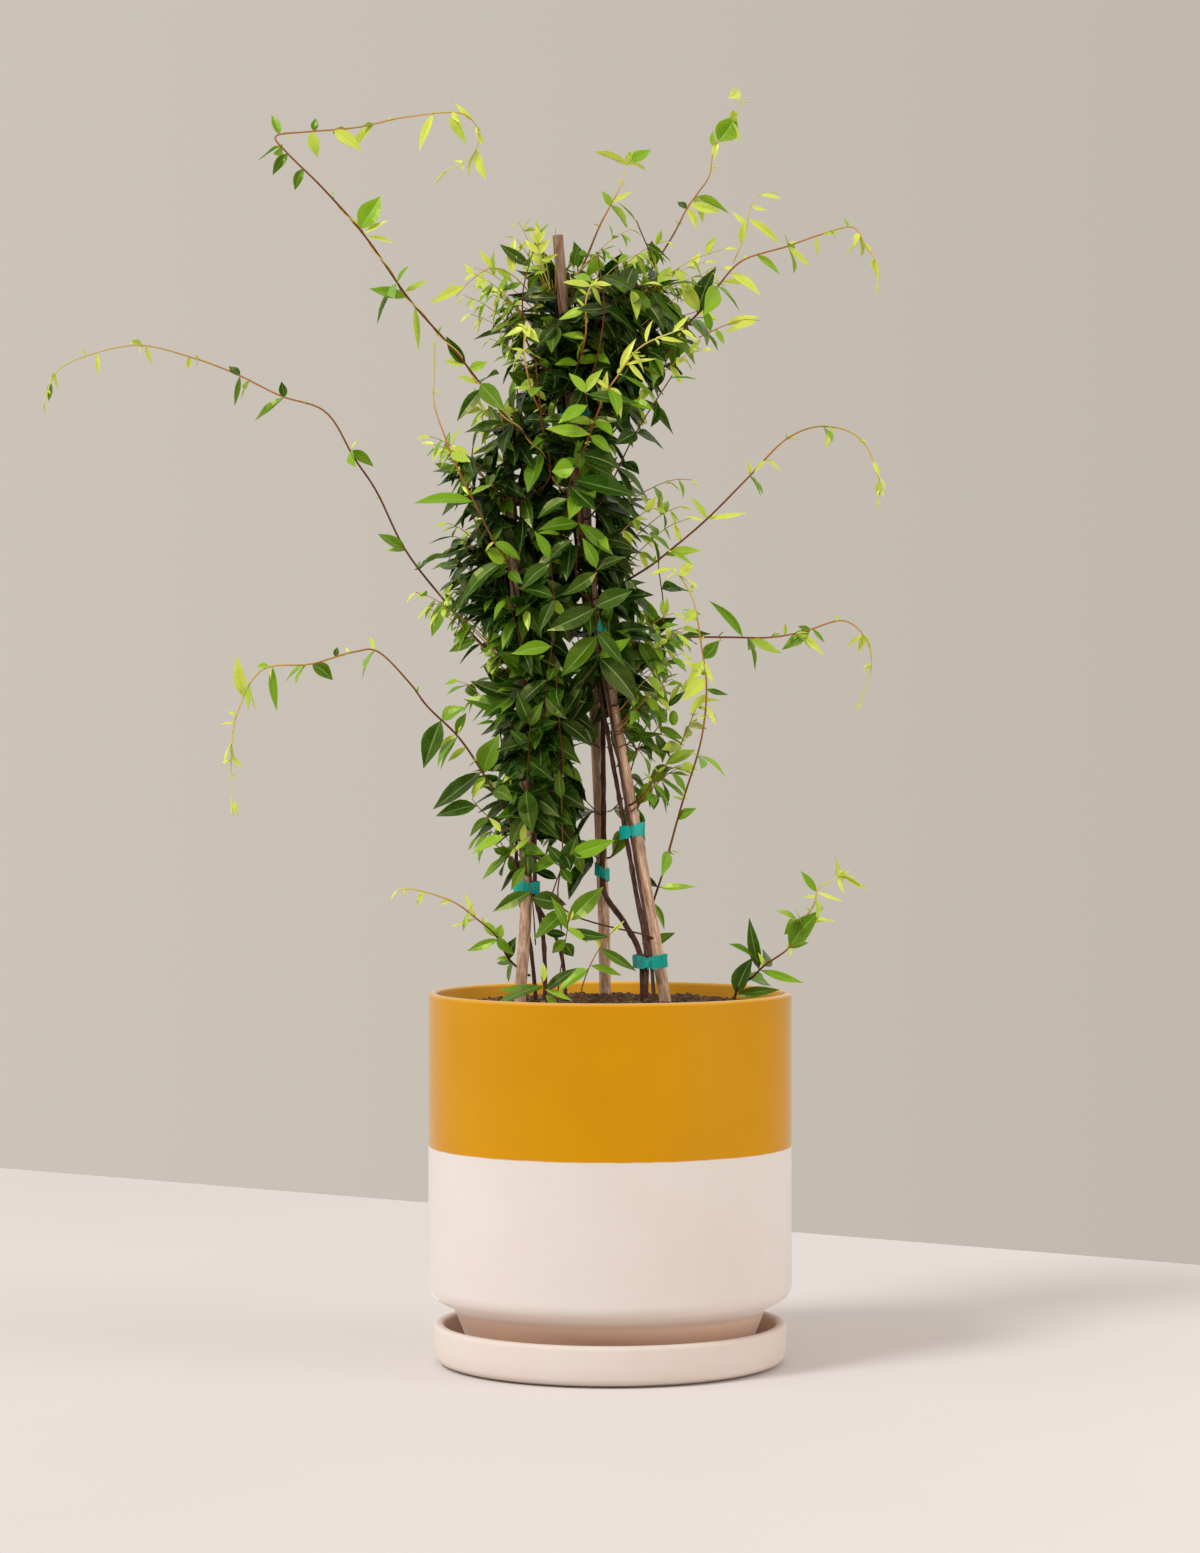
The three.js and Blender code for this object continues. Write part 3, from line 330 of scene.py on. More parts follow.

# Leaves listed one by one on the long shoots: where each joins its stem, in width and height, where its
# tip is, its width against its length, and its age from 0 for an old dark one to 1 for a new pale one.
HAND_LEAVES = {
    "shoot_upper_left": [
        [-105, 812, -128, 784, 0.28, 0.15], [-117, 826, -102, 833, 0.5, 0.6],
        [-121, 832, -137, 856, 0.32, 0.2], [-123, 830, -141, 835, 0.5, 0.75],
        [-162, 880, -158, 843, 0.14, 0.65], [-168, 885, -200, 893, 0.32, 0.5],
        [-167, 892, -148, 905, 0.22, 0.7], [-207, 939, -190, 967, 0.55, 0.55],
        [-207, 941, -216, 953, 0.25, 0.8], [-204, 938, -182, 951, 0.22, 0.85],
        [-203, 935, -180, 933, 0.2, 0.9], [-248, 998, -255, 980, 0.4, 0.3],
        [-257, 1012, -270, 994, 0.36, 0.3], [-248, 1024, -243, 1001, 0.4, 0.7],
        [-272, 1022, -279, 1041, 0.35, 0.45], [-244, 1024, -243, 1036, 0.5, 0.35],
        [-196, 1030, -218, 1011, 0.28, 0.75], [-196, 1033, -207, 1031, 0.4, 0.45],
        [-145, 1040, -159, 1007, 0.2, 0.85], [-116, 1038, -131, 1055, 0.2, 0.9],
        [-110, 1030, -105, 1018, 0.3, 0.85], [-113, 1008, -106, 996, 0.2, 0.95],
    ],
    "shoot_left": [
        [-112, 610, -138, 600, 0.3, 0.3], [-144, 638, -136, 658, 0.2, 0.75],
        [-146, 634, -160, 605, 0.38, 0.4], [-175, 686, -197, 703, 0.45, 0.4],
        [-177, 682, -196, 683, 0.22, 0.6], [-282, 820, -285, 834, 0.5, 0.15],
        [-281, 819, -310, 802, 0.26, 0.35], [-322, 838, -332, 848, 0.5, 0.2],
        [-322, 838, -327, 811, 0.17, 0.35], [-367, 852, -369, 840, 0.35, 0.8],
        [-404, 862, -398, 845, 0.22, 0.85], [-446, 858, -444, 838, 0.2, 0.95],
        [-483, 832, -486, 815, 0.3, 0.4],
    ],
    "shoot_lower_left": [
        [-103, 497, -92, 531, 0.5, 0.4], [-108, 495, -151, 466, 0.32, 0.12],
        [-106, 492, -118, 478, 0.4, 0.6], [-122, 515, -139, 505, 0.32, 0.75],
        [-129, 527, -121, 546, 0.45, 0.4], [-133, 522, -150, 509, 0.25, 0.8],
        [-139, 538, -155, 498, 0.38, 0.1], [-139, 540, -120, 553, 0.6, 0.45],
        [-225, 595, -224, 604, 0.5, 0.2], [-244, 586, -226, 573, 0.5, 0.3],
        [-275, 583, -271, 546, 0.18, 0.5], [-279, 583, -291, 584, 0.4, 0.6],
        [-302, 560, -305, 595, 0.28, 0.8], [-308, 536, -320, 536, 0.25, 0.9],
        [-311, 508, -300, 500, 0.25, 0.95], [-311, 505, -320, 503, 0.3, 0.95],
        [-310, 475, -303, 462, 0.3, 0.95],
    ],
    "shoot_low_left": [
        [-80, 343, -75, 363, 0.5, 0.1], [-84, 340, -95, 341, 0.4, 0.6], [-93, 357, -90, 370, 0.6, 0.6],
        [-93, 357, -120, 348, 0.26, 0.5], [-111, 375, -121, 398, 0.14, 0.9],
        [-111, 375, -134, 371, 0.14, 1],
    ],
    "shoot_right_arch": [
        [43, 678, 75, 683, 0.24, 0.65], [51, 677, 73, 668, 0.2, 0.6], [80, 704, 66, 723, 0.2, 0.7],
        [80, 704, 113, 711, 0.13, 0.85], [80, 703, 63, 708, 0.2, 0.9], [128, 753, 118, 743, 0.25, 0.75],
        [128, 753, 143, 744, 0.2, 0.8], [183, 779, 176, 760, 0.2, 0.85], [217, 752, 224, 739, 0.25, 0.85],
        [220, 735, 219, 721, 0.35, 0.7],
    ],
    "shoot_right_level": [
        [38, 610, 26, 645, 0.3, 0.45], [35, 607, 55, 625, 0.5, 0.2], [40, 606, 65, 594, 0.26, 0.5],
        [113, 613, 85, 646, 0.18, 0.45], [118, 609, 150, 598, 0.25, 0.65], [149, 613, 149, 625, 0.25, 0.7],
        [160, 612, 185, 594, 0.2, 0.85], [173, 616, 147, 600, 0.42, 0.5], [173, 616, 162, 620, 0.4, 0.4],
        [175, 616, 187, 604, 0.22, 0.45], [217, 611, 199, 603, 0.25, 0.85],
    ],
    "shoot_climbing": [
        [31, 360, 22, 351, 0.3, 0.3], [36, 350, 56, 362, 0.4, 0.35], [39, 386, 50, 363, 0.2, 0.4],
        [41, 399, 22, 416, 0.25, 0.2], [42, 399, 76, 404, 0.2, 0.6], [58, 456, 74, 467, 0.4, 0.4],
        [78, 552, 87, 534, 0.2, 0.85], [79, 560, 63, 544, 0.3, 0.75], [79, 565, 98, 561, 0.25, 0.1],
        [79, 575, 60, 590, 0.25, 0.8], [79, 590, 63, 568, 0.3, 0.75], [80, 588, 89, 567, 0.16, 0.9],
        [80, 590, 92, 607, 0.55, 0.3], [74, 622, 60, 631, 0.25, 0.7],
    ],
    "shoot_top": [
        [-3, 976, -9, 990, 0.5, 0.6], [2, 978, 19, 989, 0.22, 0.8], [15, 1013, 36, 1027, 0.4, 0.55],
    ],
    "shoot_top_right": [
        [66, 976, 58, 984, 0.6, 0.1], [68, 976, 77, 958, 0.3, 0.9], [72, 978, 100, 973, 0.3, 0.8],
        [93, 1027, 91, 1042, 0.35, 0.6], [97, 1030, 94, 1014, 0.3, 0.85], [97, 1030, 113, 1054, 0.62, 0.5],
        [110, 1072, 106, 1078, 0.4, 0.8],
    ],
    "shoot_right_top": [
        [47, 850, 15, 858, 0.3, 0.05], [53, 857, 50, 832, 0.4, 0.3], [66, 866, 30, 899, 0.3, 0.2],
        [71, 880, 83, 921, 0.42, 0.1], [72, 882, 58, 912, 0.34, 0.75], [95, 901, 120, 903, 0.2, 0.85],
        [100, 908, 128, 890, 0.25, 0.85], [120, 924, 142, 909, 0.25, 0.6], [147, 930, 167, 913, 0.18, 0.8],
        [170, 938, 171, 920, 0.18, 0.8], [175, 940, 191, 943, 0.25, 0.7], [197, 944, 193, 952, 0.35, 0.6],
        [211, 932, 219, 927, 0.35, 0.8], [217, 920, 221, 898, 0.18, 0.85],
    ],
    "shoot_front": [
        [-8, 806, -5, 829, 0.24, 0.85], [-2, 812, -16, 826, 0.2, 0.9], [12, 822, 25, 851, 0.18, 0.9],
        [18, 826, 44, 833, 0.18, 0.9], [22, 828, 39, 811, 0.2, 0.95], [34, 840, 38, 862, 0.16, 0.95],
        [42, 845, 64, 842, 0.18, 0.95], [52, 852, 66, 868, 0.2, 0.95],
    ],
    "shoot_left_riser": [
        [-86, 671, -129, 640, 0.3, 0.12], [-83, 670, -100, 684, 0.8, 0.6],
        [-114, 719, -164, 721, 0.26, 0.5],
    ],
    "shoot_pot_right": [
        [107, 309, 119, 341, 0.48, 0.1], [107, 308, 144, 315, 0.24, 0.3], [125, 330, 115, 374, 0.22, 0.2],
        [128, 328, 167, 320, 0.18, 0.5], [149, 350, 172, 384, 0.44, 0.35], [149, 350, 166, 356, 0.35, 0.5],
        [162, 370, 190, 374, 0.2, 0.85], [174, 395, 160, 413, 0.26, 0.5], [175, 395, 198, 389, 0.14, 0.95],
        [190, 408, 205, 411, 0.3, 0.8], [195, 410, 217, 398, 0.16, 0.75], [190, 408, 196, 394, 0.2, 0.85],
    ],
}

# Small twigs listed one by one, low in the pot and in the crown: their courses, then their leaves as above.
HAND_TWIGS = {
    "twig_hand_middle": [
        [[-26, -46, 300], [-22, -50, 322], [-12, -54, 345], [0, -56, 362], [10, -58, 372]],
        [-18, 334, -45, 316, 0.38, 0.5], [-16, 336, 12, 330, 0.25, 0.5], [-8, 350, 24, 332, 0.22, 0.3],
        [-8, 350, -10, 366, 0.25, 0.8], [2, 363, 12, 374, 0.25, 0.8],
    ],
    "twig_hand_front": [
        [[-44, -46, 300], [-42, -50, 325], [-38, -54, 350], [-35, -57, 368], [-34, -60, 380]],
        [-35, 373, -6, 403, 0.36, 0.35], [-37, 366, -1, 361, 0.24, 0.1], [-37, 366, -49, 394, 0.25, 0.4],
        [-38, 362, -59, 365, 0.32, 0.1], [-38, 358, -50, 346, 0.5, 0.4], [-38, 355, -31, 343, 0.75, 0.1],
        [-35, 372, -31, 385, 0.35, 0.75], [-36, 368, -18, 357, 0.3, 0.6],
    ],
    "twig_hand_rim": [
        [[-50, -80, 298], [-52, -92, 312], [-54, -104, 322], [-56, -110, 330]],
        [-57, 322, -102, 308, 0.24, 0.25], [-54, 321, -92, 321, 0.22, 0.4], [-56, 325, -56, 342, 0.3, 0.75],
        [-52, 320, -28, 312, 0.22, 0.6], [-52, 318, -28, 340, 0.3, 0.15], [-50, 315, -38, 304, 0.38, 0.6],
    ],
    "twig_hand_low_left": [
        [[-62, -28, 352], [-64, -44, 385], [-68, -52, 412], [-78, -58, 432], [-90, -62, 447]],
        [-66, 397, -99, 382, 0.32, 0.25], [-64, 392, -34, 386, 0.48, 0.2], [-67, 408, -69, 436, 0.45, 0.05],
        [-70, 418, -84, 398, 0.34, 0.35], [-78, 432, -66, 446, 0.3, 0.6], [-88, 442, -119, 430, 0.3, 0.6],
        [-90, 447, -100, 460, 0.3, 0.85],
    ],
    "twig_hand_low_right": [
        [[-48, -28, 395], [-42, -44, 412], [-36, -52, 425], [-28, -56, 432]],
        [-46, 408, -68, 420, 0.36, 0.05], [-42, 414, -28, 446, 0.4, 0.05], [-38, 420, -52, 436, 0.42, 0.2],
        [-34, 426, 5, 441, 0.32, 0.5], [-30, 430, -22, 410, 0.4, 0.3], [-40, 416, -30, 404, 0.55, 0.25],
    ],
    "twig_hand_fruit": [
        [[14, -24, 505], [30, -24, 522], [42, -24, 536], [50, -24, 556]],
        [22, 514, 4, 500, 0.34, 0.3], [30, 522, 44, 508, 0.3, 0.4], [30, 522, 18, 542, 0.3, 0.3],
        [40, 534, 62, 524, 0.3, 0.35], [48, 550, 62, 566, 0.3, 0.15], [48, 550, 38, 570, 0.34, 0.45],
        [50, 556, 58, 572, 0.3, 0.75],
    ],
    "twig_hand_right_top": [
        [[102, -46, 918], [112, -44, 942], [117, -42, 966], [128, -40, 978], [140, -40, 976]],
        [109, 934, 112, 956, 0.26, 0.75], [115, 955, 143, 934, 0.18, 0.85],
        [117, 966, 131, 963, 0.25, 0.95], [124, 976, 143, 974, 0.25, 0.9], [114, 950, 102, 962, 0.25, 0.9],
    ],
    "twig_hand_right_side": [
        [[74, -30, 858], [92, -36, 866], [110, -38, 872], [124, -40, 871]],
        [96, 867, 126, 878, 0.26, 0.85], [122, 871, 92, 862, 0.28, 0.8], [88, 864, 96, 850, 0.3, 0.6],
        [84, 862, 78, 884, 0.3, 0.45],
    ],
    "twig_hand_left_top": [
        [[-58, -14, 885], [-78, -24, 908], [-98, -30, 916], [-116, -32, 905], [-128, -34, 892]],
        [-82, 911, -79, 945, 0.24, 0.85], [-98, 916, -109, 932, 0.25, 0.8], [-96, 916, -78, 904, 0.3, 0.65],
        [-112, 908, -122, 920, 0.25, 0.85], [-120, 901, -152, 884, 0.2, 0.9],
        [-74, 904, -94, 898, 0.3, 0.5], [-126, 894, -134, 904, 0.25, 0.9], [-68, 898, -58, 914, 0.4, 0.3],
    ],
    "twig_hand_face_foot": [
        [[-72, -34, 440], [-70, -50, 465], [-68, -58, 500], [-66, -60, 535]],
        [-68, 482, -61, 446, 0.44, 0.2], [-67, 500, -92, 488, 0.42, 0.1], [-67, 505, -44, 490, 0.4, 0.05],
        [-66, 522, -94, 516, 0.4, 0.15], [-66, 530, -42, 540, 0.4, 0.1], [-66, 535, -77, 562, 0.4, 0.2],
        [-69, 470, -94, 458, 0.42, 0.1], [-68, 490, -52, 514, 0.4, 0.05], [-70, 460, -84, 434, 0.4, 0.25],
        [-66, 534, -56, 556, 0.4, 0.3], [-67, 514, -82, 532, 0.44, 0.05],
    ],
    "twig_hand_face_low": [
        [[-28, -36, 545], [-22, -58, 572], [-10, -66, 592], [-12, -70, 632], [-11, -70, 664]],
        [-12, 631, -53, 614, 0.42, 0.2], [-13, 608, -46, 577, 0.46, 0.3], [-8, 590, 20, 610, 0.32, 0.45],
        [-9, 592, 26, 553, 0.38, 0.05], [-24, 568, -42, 542, 0.42, 0.1], [-11, 661, -41, 644, 0.38, 0.25],
        [-11, 633, 19, 648, 0.52, 0], [-11, 662, 12, 676, 0.35, 0.2], [-10, 611, 16, 586, 0.35, 0.1],
        [-11, 664, -22, 690, 0.35, 0.4],
    ],
    "twig_hand_face_left": [
        [[-54, -30, 535], [-54, -56, 560], [-48, -66, 600], [-46, -68, 640], [-50, -66, 672]],
        [-50, 600, -84, 595, 0.34, 0.45], [-54, 573, -84, 552, 0.44, 0.15], [-47, 640, -76, 652, 0.4, 0.05],
        [-50, 668, -76, 648, 0.42, 0.05], [-47, 638, -62, 612, 0.36, 0.15], [-50, 672, -30, 690, 0.4, 0.15],
        [-50, 672, -62, 696, 0.34, 0.45], [-54, 560, -34, 540, 0.4, 0.05],
    ],
    "twig_hand_face_high": [
        [[-36, -46, 700], [-34, -62, 732], [-26, -70, 754], [-16, -74, 774], [-20, -76, 808]],
        [-20, 807, 26, 803, 0.26, 0.2], [-18, 798, -44, 785, 0.42, 0.55], [-16, 774, -54, 782, 0.26, 0.6],
        [-16, 773, 2, 760, 0.55, 0.45], [-25, 758, 8, 748, 0.5, 0.2], [-30, 747, -50, 745, 0.8, 0.5],
        [-34, 733, -10, 712, 0.5, 0.1], [-32, 738, 26, 730, 0.32, 0.15], [-35, 722, -62, 708, 0.4, 0.2],
        [-20, 808, -34, 826, 0.34, 0.6], [-20, 808, -6, 830, 0.3, 0.65],
    ],
    "twig_hand_cane_top": [
        [[-50, -12, 900], [-56, -18, 916], [-59, -21, 928], [-60, -23, 940]],
        [-57, 920, -68, 930, 0.4, 0.8], [-57, 920, -44, 930, 0.4, 0.75], [-59, 929, -71, 942, 0.3, 0.85],
        [-59, 929, -50, 942, 0.4, 0.85], [-60, 937, -67, 948, 0.35, 0.9], [-60, 937, -54, 949, 0.35, 0.95],
        [-60, 939, -62, 953, 0.3, 0.9], [-58, 924, -48, 922, 0.4, 0.7],
    ],
    "twig_hand_outer": [
        [[-76, -30, 440], [-92, -44, 452], [-106, -52, 464], [-114, -56, 474]],
        [-100, 460, -117, 444, 0.3, 0.3], [-110, 468, -146, 461, 0.38, 0.2],
        [-114, 474, -104, 492, 0.3, 0.7],
    ],
}

# How far a listed leaf leans to the front or back, and its half width against the width above.
HAND_SWING = [-0.35, 0.2]
HAND_HALF = 0.62

# Two oval green seed pods on one of these twigs: their middles, and half their width, depth and height.
PODS = [[44, -27, 543], [53, -28, 541]]
POD_SIZE = [3.6, 3.6, 6.2]
POD_AGE = 0.45

# Where a second, thinner stem winds round a long shoot: its ends, how often and how far off it turns.
TWINED = {"shoot_upper_left": {"ends": [0.06, 0.42], "turns": 8, "off": 1.5}}
TWINED_STEPS = 8
TWINED_RADIUS = [0.7, 0.4]
TWINED_AGE = 0.85

# The extra leaves at the joints of the long shoots, as a share of the pair's length, and the buds
# between them.
TUFT_SHARE = [0.35, 0.7]
BUD_LENGTH = [5, 11]

# How blades stand: the angle from their stem, how much they arch and face outward, the turn of each
# pair against the last one, and the further turns tried until a blade is clear. A habit is the room
# round a blade against its length, how far it hangs, its half width and how much it tilts aside.
BLADE_ROOT = 0.4
SPREAD = [48, 70]
ARCH = [0.08, 0.22]
FACING = 1.2
STEM_ROOM = 2
TWIG_ROOM = 3
LAST_PLACE = 0.985
Habit = namedtuple("Habit", "room droop width tilt")
HABIT = Habit(0.058, [0.4, 1.3], 0.22, 0)
TWIG_HABIT = Habit(0.013, [0.05, 1.2], 0.23, 1.1)
TUFT_HABIT = Habit(0.012, [-0.7, 0.8], 0.16, 1.5)
LIGHT_LEAN = np.array([-0.3, -0.6, 0.0])
FIRST_SEED = 977
SEED_STEP = 131
PAIR_TURNS = [0, 1.1, -1.1]
ROLLS = [0, 0.5, -0.5, 1, -1, 1.5, -1.5]

# The draws of a leaf's length and width: their least share, and how much more there is at most.
LENGTH_DRAW = [0.86, 0.28]
WIDTH_DRAW = [0.9, 0.25]

# How the youngest leaves of the small twigs differ from the oldest: their share of half width and length.
YOUNG_HALF = 0.65
YOUNG_LENGTH = 0.8

# A leaf from stalk to tip: each row's place and its share of the half width, and how far its rows
# stand aside while they are spaced.
LEAF_ROWS = [
    [0, 0.08], [0.05, 0.1], [0.12, 0.42], [0.24, 0.8], [0.38, 1], [0.54, 0.97], [0.7, 0.72], [0.86, 0.33],
    [1, 0],
]
LEAF_COLUMNS = 4
LEAF_ASIDE = 4
LEAF_THICKNESS = 0.3
LEAF_FOLD = 0.25
LEAF_WAVE = 0.09
LEAF_WAVE_RUN = 7
LEAF_WAVE_SHIFT = 9
LEAF_SWAY = 0.12

# How slim the finished leaves and stems are against the part's, and how old the stem of a side twig is.
LEAF_SLIMNESS = 0.86
STEM_SLIMNESS = 0.7
BARK_SLIMNESS = 0.78
SIDE_STEM_AGE = 0.45

# How thick the wall of a cane is at its top, against its radius, and how deep it is hollow, against
# its length.
HOLLOW_WALL = 0.4
HOLLOW_DEPTH = 0.008

SMOOTH_ANGLE = math.radians(40)
TUBE_SMOOTH_ANGLE = math.radians(50)


def mix(a, b, t):
    """The value a share t of the way from a to b."""
    return a + (b - a) * t


def unit(v):
    """A vector at length one."""
    return v / np.linalg.norm(v)


def draws(seed):
    """A repeatable run of numbers from 0 to 1."""
    state = seed

    def draw():
        nonlocal state
        state = (state * 16807) % 2147483647
        return state / 2147483647

    return draw


# Courses

class Course:
    """A smooth curve through points, as a place from 0 to 1."""

    CHORDS = 30
    SPACING = 5

    def __init__(self, points):
        self.points = np.array(points, dtype=float)
        first = 2 * self.points[0] - self.points[1]
        last = 2 * self.points[-1] - self.points[-2]
        self.padded = np.vstack([first, self.points, last])

    def at(self, t):
        """The point, or the points, at a place or an array of places."""
        spans = len(self.points) - 1
        p = np.atleast_1d(np.asarray(t, dtype=float)) * spans
        i = np.minimum(np.floor(p).astype(int), spans - 1)
        w = (p - i)[:, None]
        a, b, c, d = (self.padded[i + k] for k in range(4))
        m, n = 0.5 * (c - a), 0.5 * (d - b)
        points = b + m * w + (3 * (c - b) - 2 * m - n) * w**2 + (2 * (b - c) + m + n) * w**3
        return points[0] if np.ndim(t) == 0 else points

    def ahead(self, t):
        """The unit direction at a place."""
        return unit(self.at(min(t + 1e-4, 1)) - self.at(max(t - 1e-4, 0)))

    def length(self, start=0):
        """The length from a place to the end."""
        points = self.at(mix(start, 1, np.linspace(0, 1, self.CHORDS + 1)))
        return np.linalg.norm(np.diff(points, axis=0), axis=1).sum()

    def spaced(self, start=0):
        """Evenly spaced points from a place to the end."""
        count = math.ceil(self.length(start) / self.SPACING)
        return self.at(mix(start, 1, np.arange(count + 1) / count))


def evenly(count):
    """Evenly spaced places from 0 to 1."""
    return [i / count for i in range(count + 1)]


class Stem:
    """A stem: its course, the places of its plain rings and its radius at each place."""

    def __init__(self, course, places, radius_at, **facts):
        self.course = course
        self.places = places
        self.radius_at = radius_at
        self.rings = course.at(np.array(places))
        self.radii = np.array([radius_at(t) for t in places])
        self.facts = facts

    def section(self, z):
        """The middle and the radius of a rising stem at a height, between its plain rings."""
        above = next((i for i in range(1, len(self.rings)) if self.rings[i, 2] >= z), len(self.rings) - 1)
        t = (z - self.rings[above - 1, 2]) / (self.rings[above, 2] - self.rings[above - 1, 2])
        return (
            mix(self.rings[above - 1], self.rings[above], t),
            mix(self.radii[above - 1], self.radii[above], t),
        )

    def middle(self, t):
        """The middle between the plain rings round a place."""
        after = next((i for i in range(1, len(self.places)) if self.places[i] >= t), len(self.places) - 1)
        share = (t - self.places[after - 1]) / (self.places[after] - self.places[after - 1])
        return mix(self.rings[after - 1], self.rings[after], share)


# Room to grow

class Room:
    """Everything placed so far, as balls with an owner."""

    LARGEST = 8
    CAPACITY = 60000

    def __init__(self):
        self.centres = np.empty((self.CAPACITY, 3))
        self.radii = np.empty(self.CAPACITY)
        self.owners = np.empty(self.CAPACITY, dtype=object)
        self.count = 0

    def place(self, points, radius, owner):
        """Adds a ball at each point."""
        new = slice(self.count, self.count + len(points))
        self.centres[new] = points
        self.radii[new] = radius
        self.owners[new] = owner
        self.count = new.stop

    def is_clear(self, points, radius, ignored=()):
        """True where no ball of another owner is nearer to the points than the radius."""
        points = np.atleast_2d(points)
        reach = radius + self.LARGEST
        centres = self.centres[:self.count]
        near = np.all((centres > points.min(axis=0) - reach) & (centres < points.max(axis=0) + reach), axis=1)
        near = np.flatnonzero(near)
        near = near[[owner not in ignored for owner in self.owners[near]]]
        gaps = ((points[:, None] - centres[near][None]) ** 2).sum(axis=2)
        return bool(np.all(gaps > (radius + self.radii[near]) ** 2))


def column_x(z):
    """Where the column of stakes stands at a height."""
    return mix(*COLUMN_X, (z - COLUMN_Z) / COLUMN_HEIGHT)


def outline_at(z):
    """The leafy mass's reach to left, right and depth at a height."""
    above = max(1, next((i for i, row in enumerate(OUTLINE) if row[0] >= z), len(OUTLINE) - 1))
    low, high = OUTLINE[above - 1], OUTLINE[above]
    t = (z - low[0]) / (high[0] - low[0])
    return [mix(a, b, t) for a, b in zip(low, high)][1:]


def outer_share(point):
    """How far out of the leafy mass a point is: 0 deep inside, where leaves get painted shade, 1 for the
    outer ones.
    """
    left, right, depth = outline_at(point[2])
    aside = (point[0] - (left + right) / 2) / (right - left) * 2
    return min(1, max(0, 1.5 * math.hypot(aside, point[1] / depth) - 0.3))


def is_off_pot(points):
    """True where every point is above the rim, or inside it and above the soil."""
    inside = np.hypot(points[:, 0], points[:, 1]) < POT_RADIUS - POT_WALL - POT_CLEARANCE
    above_soil = inside & (points[:, 2] > SOIL_EDGE_Z + SOIL_MOUND + POT_CLEARANCE)
    return bool(np.all((points[:, 2] > RIM_Z + RIM_CLEARANCE) | above_soil))


class Leaf:
    """A leaf: its base, direction, facing, length, half width and arch, then its place, age and tint."""

    def __init__(self, base, along, face, length, half, bend):
        self.base, self.along, self.face = base, along, face
        self.length, self.half, self.bend = length, half, bend
        self.place, self.age, self.tint = 0, 0, 0

    def points(self):
        """Points spread over the blade."""
        side = np.cross(self.face, self.along)
        points = []
        for s, width in [[0.3, 0.8], [0.5, 0.95], [0.7, 0.7], [0.85, 0.4], [1, 0]]:
            middle = self.base + self.along * self.length * s - self.face * self.bend * self.length * s * s
            points += [middle + side * self.half * width * a for a in ([-0.75, 0, 0.75] if width else [0])]
        return np.array(points)


